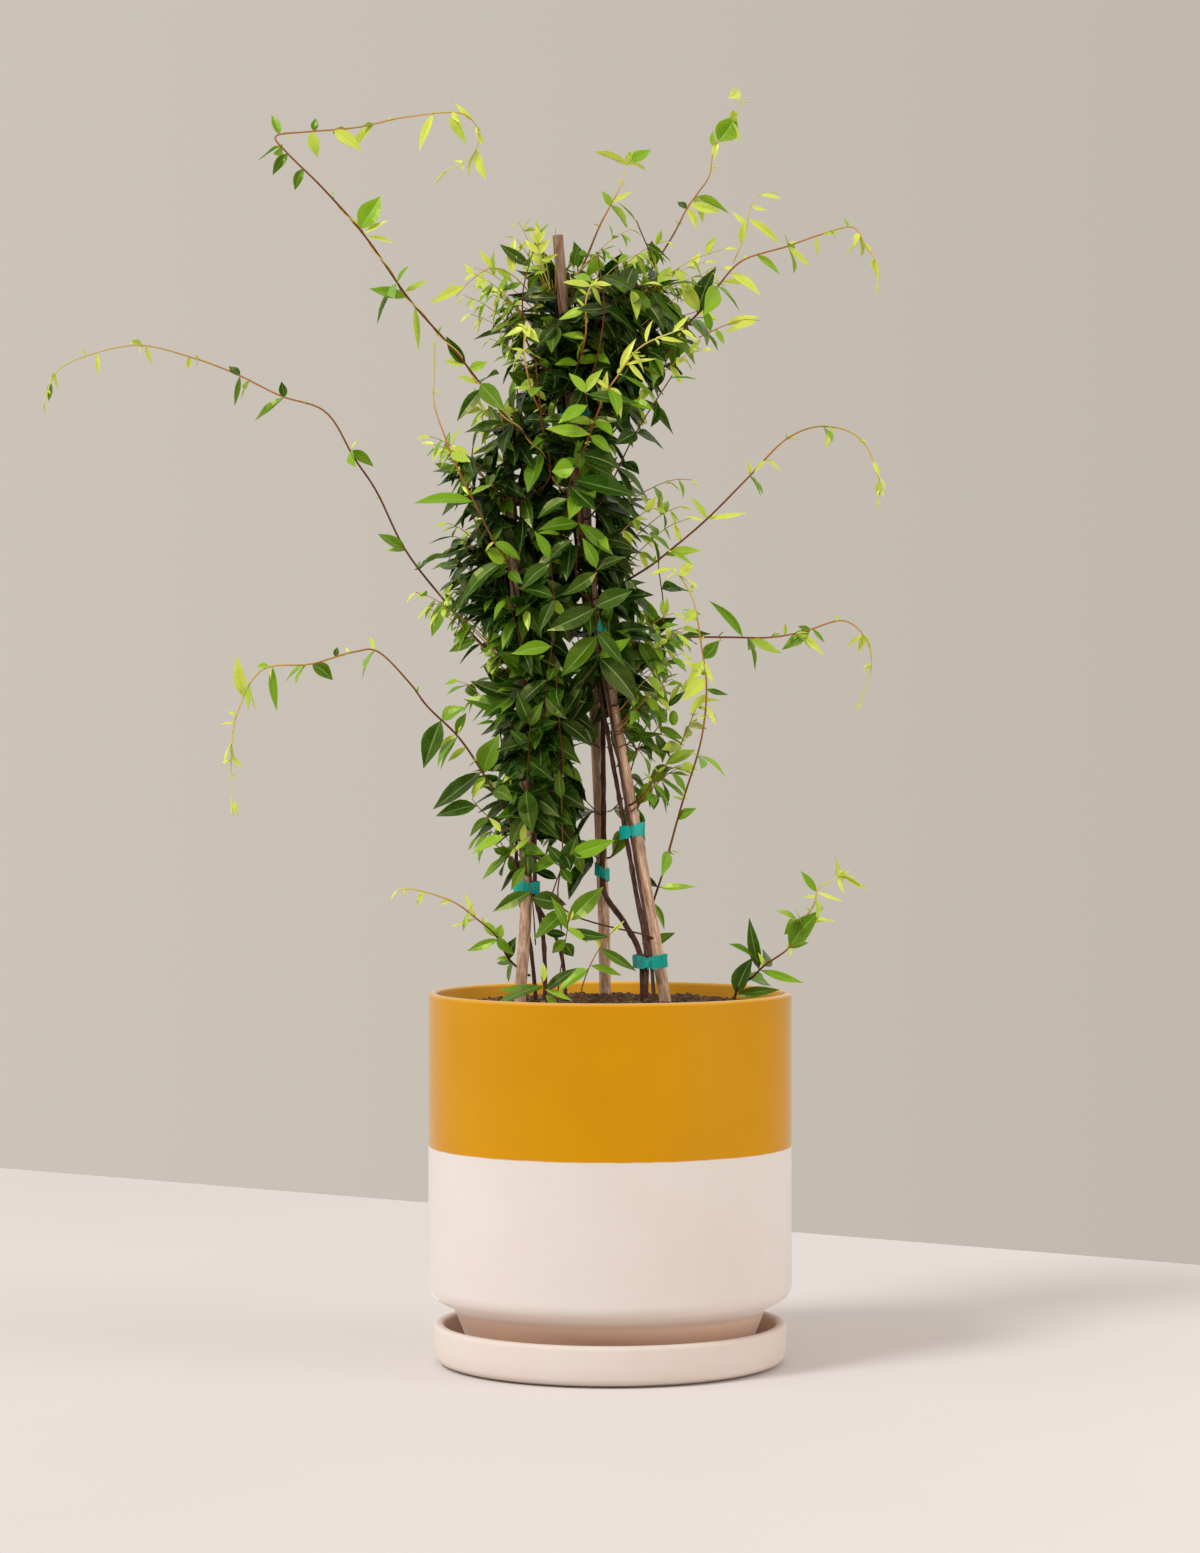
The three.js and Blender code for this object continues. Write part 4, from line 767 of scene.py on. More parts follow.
class Plant:
    """The whole plant's courses and leaves, grown in one fixed order from seeded draws."""

    def __init__(self):
        self.room = Room()
        self.stakes, self.trunks, self.stems, self.leaves, self.twigs = {}, {}, {}, {}, {}
        self.grow_stakes()
        self.grow_trunks()
        self.wrap_ties()
        self.grow_shoots()
        self.grow_sprays()
        for i, (name, stem) in enumerate(self.stems.items()):
            self.leaves[name] = self.grown_leaves(name, stem, FIRST_SEED + SEED_STEP * i)
        self.grow_by_hand()
        self.grow_twigs()
        self.grow_tufts()

    def grow_stakes(self):
        """The three canes, with rings round each joint."""
        for name, stake in STAKES.items():
            joints = stake["joints"]
            rings = [t + step for t in joints for step in (-JOINT_STEP, 0, JOINT_STEP)]
            between = [t for t in evenly(8) if all(abs(t - joint) > JOINT_ROOM for joint in joints)]

            def radius_at(t, joints=joints):
                return STAKE_RADIUS * mix(1, STAKE_TAPER, t) * (JOINT_SWELL if t in joints else 1)

            course = Course(stake["points"])
            self.stakes[name] = Stem(course, sorted(between + rings), radius_at, joints=joints)
            self.room.place(course.spaced(), STAKE_RADIUS + STEM_ROOM, name)

    def grow_trunks(self):
        """The woody stems, each winding up its stake."""
        for name, trunk in TRUNKS.items():
            radius, stake, climb = trunk.radius, self.stakes[trunk.stake], trunk.climb
            steps = round((climb[1] - climb[0]) / CLIMB_STEP)
            off = STAKE_RADIUS + radius + TRUNK_CLEARANCE
            points = [np.array(p, dtype=float) for p in trunk.foot]
            for i in range(steps + 1):
                angle = math.radians(mix(*trunk.angles, i / steps))
                at, _ = stake.section(mix(*climb, i / steps))
                points.append(at + off * np.array([math.cos(angle), math.sin(angle), 0]))

            def radius_at(t, radius=radius):
                return radius * mix(1, TRUNK_TAPER, t)

            course = Course(points)
            self.trunks[name] = Stem(course, evenly(len(points) - 1), radius_at, top=climb[1])
            self.room.place(course.spaced(), radius + STEM_ROOM, name)

    def loop_round(self, holds, z, widen, count=TAPE_POINTS):
        """The loop round what a tie holds, widened by an amount: the corners between its straight sides."""
        held = [(self.stakes.get(name) or self.trunks[name]) for name in holds]
        circles = [stem.section(z + share * TAPE_WIDTH) for stem in held for share in (-0.5, 0, 0.5)]
        turn = 2 * math.pi / count

        def reach(angle):
            way = (math.cos(angle), math.sin(angle))
            return max(at[0] * way[0] + at[1] * way[1] + radius + widen for at, radius in circles)

        corners = []
        for i in range(count):
            a, b = i * turn, (i + 1) * turn
            x = (reach(a) * math.sin(b) - reach(b) * math.sin(a)) / math.sin(turn)
            y = (reach(b) * math.cos(a) - reach(a) * math.cos(b)) / math.sin(turn)
            corners.append([x, y])
        return np.array(corners)

    def wrap_ties(self):
        """Keeps the room round each tie."""
        for name, (z, holds) in TIES.items():
            loop = self.loop_round(holds, z, TAPE_SLACK)
            for share in (-0.5, 0, 0.5):
                heights = np.full((len(loop), 1), z + share * TAPE_WIDTH)
                self.room.place(np.hstack([loop, heights]), TAPE_ROOM, name)

    def leaving(self, trunk, z, towards, radius):
        """Where a side shoot meets its woody stem, just clear of the bark."""
        centre, bark = self.trunks[trunk].section(z)
        way = unit(np.array([towards[0] - centre[0], towards[1] - centre[1], 0]))
        off = bark + BARK_GAP + RADIUS_SHARE * radius
        second = centre + way * (off + LEAVING_RUN)
        second[2] = z + LEAVING_RISE
        return [centre + way * off, second]

    def grow_shoots(self):
        """The courses of the long shoots."""
        for name, shoot in SHOOTS.items():
            points = [np.array(p, dtype=float) for p in shoot.points]
            if len(shoot.start) == 3:
                start = [np.array(shoot.start, dtype=float)]
            else:
                start = self.leaving(*shoot.start, points[0], SHOOT_RADIUS[0])
            course = Course(start + points)
            places = evenly(max(5, len(points)))
            self.stems[name] = Stem(
                course, places, lambda t: mix(*SHOOT_RADIUS, t), pairs=shoot.pairs, leaf=shoot.leaf)
            self.room.place(course.spaced(), TWIG_ROOM, name)

    def spray_course(self, z, angle):
        """A spray's course: out from the nearest bark, then up inside the outline."""
        way = np.array([math.cos(angle), math.sin(angle), 0])
        nearest = max(
            ((name, trunk.section(z)[0]) for name, trunk in self.trunks.items() if z < trunk.facts["top"]),
            key=lambda pair: pair[1] @ way,
        )
        start = self.leaving(nearest[0], z, nearest[1] + way, SPRAY_RADIUS[0])
        begin = (start[0] - np.array([column_x(z), 0, 0])) @ way
        rising = []
        for rise, share in SPRAY_COURSE:
            height = min(z + rise, OUTLINE[-1][0])
            left, right, depth = outline_at(height)
            reach = math.hypot(((right if way[0] > 0 else left) - column_x(height)) * way[0], depth * way[1])
            out = max(begin + 12 * share, share * (reach - SPRAY_LEAF / 2))
            rising.append(way * out + np.array([column_x(height), 0, z + rise]))
        return Course(start + rising)

    def clear_of_ties(self, z):
        """A height moved up past a tie that it would meet."""
        for middle, _ in TIES.values():
            if middle - 2 * TAPE_WIDTH < z < middle + TAPE_WIDTH:
                return middle + TAPE_WIDTH
        return z

    def grow_sprays(self):
        """The leafy sprays of the part."""
        wood = {*self.trunks, *self.stakes}
        for i in range(SPRAYS):
            z = self.clear_of_ties(mix(*SPRAY_HEIGHTS, math.pow((i + 0.5) / SPRAYS, 0.75)))
            for turn in TWIG_TURNS:
                angle = math.radians(i * GOLDEN_ANGLE + FIRST_ANGLE + turn)
                course = self.spray_course(z, angle)
                if not self.room.is_clear(course.spaced(0.3), SPRAY_GAP):
                    continue
                if not self.room.is_clear(course.spaced(), SPRAY_GAP, wood):
                    continue
                pairs = LOW_SPRAY_PAIRS if z < LOW_SPRAY_Z else SPRAY_PAIRS
                name = f"spray_{i + 1:02d}"
                self.stems[name] = Stem(
                    course, evenly(4), lambda t: mix(*SPRAY_RADIUS, t),
                    pairs=pairs, leaf=[SPRAY_LEAF, SPRAY_LEAF * SPRAY_LAST_LEAF],
                )
                self.room.place(course.spaced(), TWIG_ROOM, name)
                break

    def grown_leaf(self, name, stem, t, side, turn, length, draw, habit):
        """One leaf, turned about its stem until it is clear of all else; None if it never is."""
        spread = math.radians(mix(*SPREAD, draw()))
        droop = mix(*habit.droop, draw())
        bend = mix(*ARCH, draw())
        half = length * habit.width * (WIDTH_DRAW[0] + WIDTH_DRAW[1] * draw())
        lean = turn + (draw() - 0.5) * 0.6
        tilt = habit.tilt * (draw() - 0.5) if habit.tilt else 0
        at = stem.middle(t)
        ahead = stem.course.ahead(t)
        outward = unit(np.array([at[0] - column_x(at[2]), at[1], 0]))
        across = unit(np.cross(ahead, UP if abs(ahead[2]) < 0.85 else outward))
        lift = np.cross(across, ahead)
        for roll in ROLLS:
            way = (
                ahead * math.cos(spread if side else 0)
                + across * side * math.cos(roll + lean) * math.sin(spread)
                + lift * math.sin(roll + lean) * math.sin(spread if side else 0.4)
            )
            way[2] -= droop
            way = unit(way)
            face = UP + outward * FACING
            if tilt:
                face = UP + outward * 0.6 * FACING + across * tilt + LIGHT_LEAN
            face = unit(face - way * (face @ way))
            leaf = Leaf(at - way * BLADE_ROOT, way, face, length, half, bend)
            points = leaf.points()
            room = habit.room * length
            if name.startswith("twig") and self.hides_cane(points):
                continue
            if is_off_pot(points) and self.room.is_clear(points, room, {name}):
                self.room.place(points, room, "blade")
                leaf.base = leaf.base + stem.course.at(t) - at
                return leaf
        return None

    def grown_leaves(self, name, stem, seed, habit=HABIT):
        """The leaves of a stem: pairs at their places, and one at the tip."""
        draw = draws(seed)
        first, last = stem.facts["leaf"]
        leaves = []
        for i, t in enumerate(stem.facts["pairs"]):
            for side in (1, -1):
                length = mix(first, last, t) * (LENGTH_DRAW[0] + LENGTH_DRAW[1] * draw())
                turn = PAIR_TURNS[i % len(PAIR_TURNS)]
                leaf = self.grown_leaf(name, stem, min(t, LAST_PLACE), side, turn, length, draw, habit)
                if leaf:
                    leaf.place = t
                    leaves.append(leaf)
        tip = self.grown_leaf(name, stem, 0.99, 0, 0, last * 0.8, draw, habit)
        if tip:
            tip.place = 1
            leaves.append(tip)
        for leaf in leaves:
            # Painted shade: leaves deep inside the mass lean to the darkest colour and look older, standing
            # in for the shade among the leaves.
            share = 1 if name.startswith("shoot") else outer_share(leaf.base)
            leaf.tint = draw() * share
            leaf.age = self.age_of(name, leaf.place, draw()) * mix(0.4, 1, share)
        return leaves

    def hides_cane(self, points):
        """True where a blade would stand in front of a cane that shows."""
        for name, openings in OPEN_CANES.items():
            for point in points:
                middle = self.stakes[name].section(point[2])[0]
                is_open = any(low < point[2] < high for low, high in openings)
                if is_open and point[1] < middle[1] and abs(point[0] - middle[0]) < OPEN_WIDTH:
                    return True
        return False

    def age_of(self, name, place, chance):
        """How young a leaf is, from 0 for a dark one to 1 for a pale new one."""
        if name.startswith("shoot"):
            return min(1, max(0, 0.15 + 0.75 * place + 0.3 * (chance - 0.5)))
        if place > 0.8:
            return 0.2 + (0.45 if name.startswith("spray") else 0.75) * chance
        return max(0, 0.55 * chance**1.7 - 0.05)

    def hand_leaves(self, stem, rows, draw):
        """Leaves listed from a place on their stem to their tip."""
        places = np.linspace(0, 1, 201)
        course = stem.course.at(places)
        leaves = []
        for x, z, tip_x, tip_z, width, age in rows:
            t = places[np.argmin(np.hypot(course[:, 0] - x, course[:, 2] - z))]
            way = np.array([tip_x - x, 0, tip_z - z], dtype=float)
            length = np.linalg.norm(way)
            way[1] = length * mix(*HAND_SWING, draw())
            way = unit(way)
            face = np.array([mix(-0.5, 0.3, draw()), -1, mix(0.2, 1.1, draw())])
            face = unit(face - way * (face @ way))
            half = HAND_HALF * length * width
            leaf = Leaf(stem.course.at(t) - way * BLADE_ROOT, way, face, length, half, mix(*ARCH, draw()))
            leaf.place, leaf.age, leaf.tint = t, age, draw()
            self.room.place(leaf.points(), 0.5, "blade")
            leaves.append(leaf)
        return leaves

    def grow_by_hand(self):
        """The listed leaves on the long shoots, and the listed twigs."""
        draw = draws(FIRST_SEED * 5)
        for name, rows in HAND_LEAVES.items():
            self.leaves[name] += self.hand_leaves(self.stems[name], rows, draw)
        for name, (points, *rows) in HAND_TWIGS.items():
            youth = np.mean([age for *_, age in rows])
            stem = Stem(Course(points), evenly(6), lambda t: mix(*TWIG_RADIUS, t), youth=youth)
            self.stems[name] = stem
            self.leaves[name] = self.hand_leaves(stem, rows, draw)

    def twig_course(self, tip, sway):
        """A small twig's course from the nearest woody stem up to its tip, bent to one side."""
        def distance(pair):
            return np.hypot(*(pair[1].section(min(tip[2] - 20, pair[1].facts["top"] - 8))[0] - tip)[:2])

        tall = {name: trunk for name, trunk in self.trunks.items() if trunk.facts["top"] > tip[2] - 60}
        name, trunk = min((tall or self.trunks).items(), key=distance)
        rise = min(TWIG_RISE[1], max(TWIG_RISE[0], 0.75 * distance((name, trunk))))
        z = self.clear_of_ties(min(max(tip[2] - rise, TWIG_LEAST_Z), trunk.facts["top"] - 6))
        start = self.leaving(name, z, tip, TWIG_RADIUS[0])
        run = tip - start[1]
        aside = np.cross(run, UP) * TWIG_SWAY * sway / max(np.linalg.norm(run), 1)
        rising = np.array([0, 0, 0.12 * rise])
        bent = [mix(start[1], tip, 0.4) + aside + rising, mix(start[1], tip, 0.75) + rising]
        return Course([*start, *bent, tip])

    def grow_twigs(self):
        """The small twigs of each bunch between the sprays, with their leaves."""
        wood = {*self.trunks, *self.stakes}
        for number, (bunch, facts) in enumerate(BUNCHES.items()):
            draw = draws(FIRST_SEED * (number + 2))
            self.twigs[bunch] = []
            for i in range(facts.twigs * TWIG_TRIES):
                if len(self.twigs[bunch]) == facts.twigs:
                    break
                across, depth, height = 2 * draw() - 1, 2 * draw() - 1, draw()
                depth = -math.sqrt(abs(depth)) if facts.front else depth
                seed = 1 + int(draw() * 1e6)
                sway = 2 * draw() - 1
                reach = facts.depth * math.sqrt(1 - across * across * 0.8)
                tip = np.array([mix(*facts.x, (across + 1) / 2), depth * reach, mix(*facts.z, height)])
                course = self.twig_course(tip, sway)
                if not self.room.is_clear(course.spaced(0.35), TWIG_GAP, {"blade"}):
                    continue
                if not self.room.is_clear(course.spaced(0.1), TWIG_WOOD_GAP, wood | {"blade"}):
                    continue
                name = f"twig_{bunch}_{i:03d}"
                pairs = round(course.length() * 0.8 / TWIG_PAIR_STEP)
                pairs = max(TWIG_PAIRS[0], min(TWIG_PAIRS[1], pairs))
                stem = Stem(
                    course, evenly(6), lambda t: mix(*TWIG_RADIUS, t),
                    pairs=[TWIG_LEAFY[0] + TWIG_LEAFY[1] * k / pairs for k in range(pairs)],
                    leaf=[facts.leaf, facts.leaf * TWIG_LAST_LEAF], youth=facts.age,
                )
                self.room.place(course.spaced(), TWIG_BALL, name)
                self.twigs[bunch].append(name)
                self.stems[name] = stem
                self.leaves[name] = self.grown_leaves(name, stem, seed, TWIG_HABIT)
                for leaf in self.leaves[name]:
                    leaf.age = max(leaf.age, facts.age * mix(0.7, 1.25, leaf.tint))
                    leaf.half *= mix(1, YOUNG_HALF, leaf.age)
                    leaf.length *= mix(1, YOUNG_LENGTH, leaf.age)

    def grow_tufts(self):
        """More leaves at the joints of the long shoots, and small new ones between them."""
        for number, name in enumerate(SHOOTS):
            stem = self.stems[name]
            draw = draws(FIRST_SEED * 3 + SEED_STEP * number)
            first, last = stem.facts["leaf"]
            pairs = stem.facts["pairs"]
            tufts = [(t, mix(first, last, t) * mix(*TUFT_SHARE, draw())) for t in pairs]
            between = [(a + b) / 2 for a, b in zip(pairs, pairs[1:] + [1])]
            tufts += [(t, mix(*BUD_LENGTH, draw())) for t in between for _ in range(2)]
            for i, (t, size) in enumerate(tufts):
                side = 1 if i % 2 else -1
                turn = mix(-1.6, 1.6, draw())
                leaf = self.grown_leaf(name, stem, min(t, LAST_PLACE), side, turn, size, draw, TUFT_HABIT)
                if leaf:
                    leaf.tint = draw()
                    leaf.age = min(1, 0.35 + 0.4 * t + 0.4 * draw())
                    self.leaves[name].append(leaf)


@functools.cache
def plant():
    """The plant, grown once for all the pieces."""
    return Plant()


# Modelling

def deselect():
    """Leaves edit mode and selects nothing."""
    if bpy.context.object and bpy.context.object.mode != "OBJECT":
        bpy.ops.object.mode_set(mode="OBJECT")
    bpy.ops.object.select_all(action="DESELECT")


def edit():
    """Enters edit mode on the active object with nothing selected."""
    bpy.ops.object.mode_set(mode="EDIT")
    bpy.ops.mesh.select_mode(type="VERT")
    bpy.ops.mesh.select_all(action="DESELECT")


def pick(test, kind="verts"):
    """Selects the vertices, edges or faces of the mesh in edit mode that pass a test, and no others."""
    mesh = bpy.context.object.data
    bpy.ops.mesh.select_mode(type={"verts": "VERT", "edges": "EDGE", "faces": "FACE"}[kind])
    bpy.ops.mesh.select_all(action="DESELECT")
    bm = bmesh.from_edit_mesh(mesh)
    for element in getattr(bm, kind):
        element.select_set(bool(test(element)))
    bm.select_flush_mode()
    bmesh.update_edit_mesh(mesh)


def finished(piece, name, slot, replaced=None):
    """Names a piece, gives it its slot's finish and ties it to the frame."""
    bpy.ops.object.mode_set(mode="OBJECT")
    piece.name = name
    piece.data.name = name
    piece.data.materials.clear()
    piece.data.materials.append(made(FINISHES[slot]))
    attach(piece, "root")
    if replaced:
        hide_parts(replaced)
    deselect()


def apply_modifier(kind, **settings):
    """Adds a modifier to the active object and applies it."""
    bpy.ops.object.modifier_add(type=kind)
    modifier = bpy.context.object.modifiers[-1]
    for key, value in settings.items():
        setattr(modifier, key, value)
    bpy.ops.object.modifier_apply(modifier=modifier.name)


def rounded(section, steps=7):
    """A section's points, with each corner rounded from as far off as its third number says."""
    corners = np.array(section, dtype=float)[:, :2]
    points = []
    for i, (corner, (*_, off)) in enumerate(zip(corners, section)):
        if not off:
            points.append(corner)
            continue
        before = unit(corners[i - 1] - corner) * off
        after = unit(corners[i + 1] - corner) * off
        for k in range(steps + 1):
            t = k / steps
            first, last = (1 - t) ** 2 * (corner + before), t**2 * (corner + after)
            points.append(first + 2 * t * (1 - t) * corner + last)
    return points


def turned(profile):
    """A turned piece, extruded ring by ring up its profile of radius and height and closed where it meets."""
    deselect()
    (radius, z), *rest = profile
    bpy.ops.mesh.primitive_circle_add(vertices=ROUND_SIDES, radius=radius * MM, location=(0, 0, z * MM))
    bpy.ops.object.transform_apply(location=True)
    bpy.ops.object.mode_set(mode="EDIT")
    bpy.ops.mesh.select_all(action="SELECT")
    for next_radius, next_z in rest:
        bpy.ops.mesh.extrude_edges_move(TRANSFORM_OT_translate={"value": (0, 0, (next_z - z) * MM)})
        share = next_radius / radius
        bpy.ops.transform.resize(value=(share, share, 1), center_override=(0, 0, next_z * MM))
        radius, z = next_radius, next_z
    bpy.ops.mesh.select_all(action="SELECT")
    bpy.ops.mesh.remove_doubles(threshold=1e-5)
    bpy.ops.mesh.normals_make_consistent(inside=False)
    bpy.ops.object.mode_set(mode="OBJECT")
    return bpy.context.object


def tube_blank(sides, rings, is_hollow=False):
    """A plain upright tube one high and one in radius, closed at both ends; its top may be hollow."""
    deselect()
    bpy.ops.mesh.primitive_cylinder_add(
        vertices=sides, radius=1, depth=1, location=(0, 0, 0.5), end_fill_type="NGON")
    bpy.ops.object.transform_apply(location=True)
    edit()
    pick(lambda e: abs(e.verts[0].co.z - e.verts[1].co.z) > 0.5, "edges")
    bpy.ops.mesh.subdivide(number_cuts=rings - 1)
    if is_hollow:
        pick(lambda f: f.normal.z > 0.9, "faces")
        bpy.ops.mesh.inset(thickness=HOLLOW_WALL)
        bpy.ops.mesh.extrude_region_move(TRANSFORM_OT_translate={"value": (0, 0, -HOLLOW_DEPTH)})
    bpy.ops.object.mode_set(mode="OBJECT")
    return bpy.context.object


def points_of(mesh):
    """A mesh's points as an array."""
    points = np.empty(len(mesh.vertices) * 3)
    mesh.vertices.foreach_get("co", points)
    return points.reshape(-1, 3)


def set_points(mesh, points):
    """Moves a mesh's points."""
    mesh.vertices.foreach_set("co", np.ascontiguousarray(points, dtype=np.float32).ravel())
    mesh.update()


def set_value(mesh, name, values):
    """Keeps a number for each point of a mesh."""
    attribute = mesh.attributes.get(name) or mesh.attributes.new(name, "FLOAT", "POINT")
    attribute.data.foreach_set("value", np.broadcast_to(values, len(mesh.vertices)).astype(np.float32))


def values_of(mesh, name):
    """The numbers kept under a name for the points of a mesh."""
    values = np.empty(len(mesh.vertices), dtype=np.float32)
    mesh.attributes[name].data.foreach_get("value", values)
    return values


def set_looks(mesh, age, tint=0.5, is_leaf=0):
    """Keeps what the leaf finish reads: how young, how light, and whether leaf or stem."""
    for name, value in {"age": age, "tint": tint, "is_leaf": is_leaf}.items():
        set_value(mesh, name, value)


def own_copy(piece):
    """A copy of a piece with its own mesh."""
    copy = piece.copy()
    copy.data = piece.data.copy()
    bpy.context.scene.collection.objects.link(copy)
    return copy


def course_frames(course, places):
    """Middles along a course, and two directions across it with no twist between them."""
    middles = course.at(places)
    aheads = np.array([course.ahead(t) for t in places])
    across = np.array([0.0, 1.0, 0.0])
    sides = []
    for ahead in aheads:
        across = unit(across - ahead * (across @ ahead))
        sides.append(across.copy())
    sides = np.array(sides)
    return middles, sides, np.cross(sides, aheads)


def drawn_along(tube, course, radius_at, roughness=0, seed=0):
    """Draws a plain tube along a course, with its radius and bark-like bumps, and keeps its length."""
    points = points_of(tube.data)
    places, which = np.unique(np.round(points[:, 2], 6), return_inverse=True)
    places = np.clip(places, 0, 1)
    middles, across, beside = course_frames(course, places)
    radii = np.array([radius_at(t) for t in places])[which]
    if roughness:
        bumps = [noise.noise(Vector((p[0], p[1], p[2] * course.length() / 9 + seed))) for p in points]
        radii = radii * (1 + roughness * np.array(bumps))
    placed = (
        middles[which]
        + beside[which] * (points[:, 0] * radii)[:, None]
        + across[which] * (points[:, 1] * radii)[:, None]
    )
    set_points(tube.data, placed * MM)
    set_value(tube.data, "place", places[which])
    set_value(tube.data, "run", places[which] * course.length() * MM)
    set_value(tube.data, "turn_x", points[:, 0])
    set_value(tube.data, "turn_y", points[:, 1])
    bpy.ops.object.shade_smooth_by_angle(angle=TUBE_SMOOTH_ANGLE)
    return tube


def leaf_blank():
    """A flat leaf, one long and two wide, closed and a hair thick, modelled once for all the leaves."""
    deselect()
    rows = len(LEAF_ROWS) - 1
    bpy.ops.mesh.primitive_grid_add(x_subdivisions=LEAF_COLUMNS, y_subdivisions=rows, size=2)
    bpy.ops.object.mode_set(mode="EDIT")
    levels = [-1 + 2 * i / rows for i in range(rows + 1)]
    for y, (_, width) in zip(levels, LEAF_ROWS):
        pick(lambda v, y=y: abs(v.co.y - y) < 1e-3)
        bpy.ops.transform.resize(value=(max(width, 1e-4), 1, 1), center_override=(0, y, 0))
    for y, (place, _) in reversed(list(zip(levels, LEAF_ROWS))):
        pick(lambda v, y=y: abs(v.co.y - y) < 1e-3)
        bpy.ops.transform.translate(value=(0, place - y + LEAF_ASIDE, 0))
    bpy.ops.mesh.select_all(action="SELECT")
    bpy.ops.transform.translate(value=(0, -LEAF_ASIDE, 0))
    bpy.ops.mesh.duplicate()
    bpy.ops.mesh.flip_normals()
    inner = 1 - 1.5 / LEAF_COLUMNS
    bm = bmesh.from_edit_mesh(bpy.context.object.data)
    for v in bm.verts:
        half = np.interp(v.co.y, *np.array(LEAF_ROWS).T)
        v.select_set(bool(v.select and 0.02 < v.co.y < 0.98 and abs(v.co.x) < inner * half))
    bm.select_flush_mode()
    bmesh.update_edit_mesh(bpy.context.object.data)
    bpy.ops.transform.translate(value=(0, 0, -1))
    bpy.ops.mesh.select_all(action="SELECT")
    bpy.ops.mesh.remove_doubles(threshold=1e-3)
    bpy.ops.object.mode_set(mode="OBJECT")
    blank = bpy.context.object
    blank.name = "leaf_blank"
    return blank


def leaf_copy(blank, leaf):
    """A copy of the plain leaf with its own mesh, folded, waved and arched to its place."""
    copy = own_copy(blank)
    x, s, depth = points_of(blank.data).T
    right = np.cross(leaf.along, leaf.face)
    fold = LEAF_FOLD * leaf.half * np.abs(x) * np.sin(math.pi * np.clip(s, 0, 1)) ** 0.5
    wave = LEAF_WAVE * leaf.half * np.sin(LEAF_WAVE_RUN * s + LEAF_WAVE_SHIFT * leaf.tint) * x
    lift = depth * LEAF_THICKNESS - leaf.bend * leaf.length * s * s + fold + wave
    sway = LEAF_SWAY * leaf.length * (leaf.tint - 0.5) * np.sin(math.pi * s)
    points = (
        leaf.base
        + leaf.along * (leaf.length * s)[:, None]
        + right * (leaf.half * LEAF_SLIMNESS * x + sway)[:, None]
        + leaf.face * lift[:, None]
    )
    set_points(copy.data, points * MM)
    set_looks(copy.data, leaf.age, leaf.tint, is_leaf=1)
    return copy


def joined(pieces):
    """Joins objects into the first one."""
    deselect()
    for piece in pieces:
        piece.select_set(True)
    bpy.context.view_layer.objects.active = pieces[0]
    bpy.ops.object.join()
    return bpy.context.object


def leafy_stem(name, blank, sides, step):
    """A stem with its leaves, as one mesh."""
    stem = plant().stems[name]
    rings = max(6, round(stem.course.length() / step))
    tube = drawn_along(
        tube_blank(sides, rings), stem.course, lambda t: stem.radius_at(t) * STEM_SLIMNESS,
        roughness=0.12, seed=len(name))
    age = values_of(tube.data, "place")
    if not name.startswith("shoot"):
        age = np.maximum(age * SIDE_STEM_AGE, stem.facts.get("youth", 0))
    set_looks(tube.data, age)
    twined = [twined_stem(stem, **TWINED[name])] if name in TWINED else []
    return joined([tube] + twined + [leaf_copy(blank, leaf) for leaf in plant().leaves[name]])


def leafy_pieces(names, sides, step, old, new, slot):
    """Makes one leafy piece of each stem, under its own name, in place of its node."""
    blank = leaf_blank()
    for name in names:
        finished(leafy_stem(name, blank, sides, step), name.replace(old, new), slot, name)
    bpy.data.objects.remove(blank)


def twined_stem(stem, ends, turns, off):
    """A second, thinner stem that winds round another."""
    places = np.linspace(*ends, turns * TWINED_STEPS + 1)
    middles, across, beside = course_frames(stem.course, places)
    turn = np.linspace(0, 2 * math.pi * turns, len(places))[:, None]
    points = middles + off * (across * np.cos(turn) + beside * np.sin(turn))
    blank = tube_blank(6, 2 * turns * TWINED_STEPS)
    tube = drawn_along(blank, Course(points), lambda t: mix(*TWINED_RADIUS, t))
    set_looks(tube.data, TWINED_AGE)
    return tube


# Finishes

def paint(tone):
    """A colour from its hex digits, a grey from a number, or any other colour as it is."""
    if isinstance(tone, str):
        channels = [int(tone[i:i + 2], 16) / 255 for i in (1, 3, 5)]
        return [c / 12.92 if c <= 0.04045 else ((c + 0.055) / 1.055) ** 2.4 for c in channels] + [1]
    if isinstance(tone, (int, float)):
        return [tone] * 3 + [1]
    return tone


class Nodes:
    """A node tree, built node by node."""

    def __init__(self, tree):
        self.tree = tree

    def feed(self, socket, value):
        """Links a socket to another one, or sets it to a value."""
        if isinstance(value, bpy.types.NodeSocket):
            self.tree.links.new(value, socket)
        else:
            socket.default_value = value

    def node(self, kind, inputs=None, **settings):
        """A node with its settings, and its inputs linked or set."""
        node = self.tree.nodes.new(kind)
        for key, value in settings.items():
            setattr(node, key, value)
        for key, value in (inputs or {}).items():
            self.feed(node.inputs[key], value)
        return node


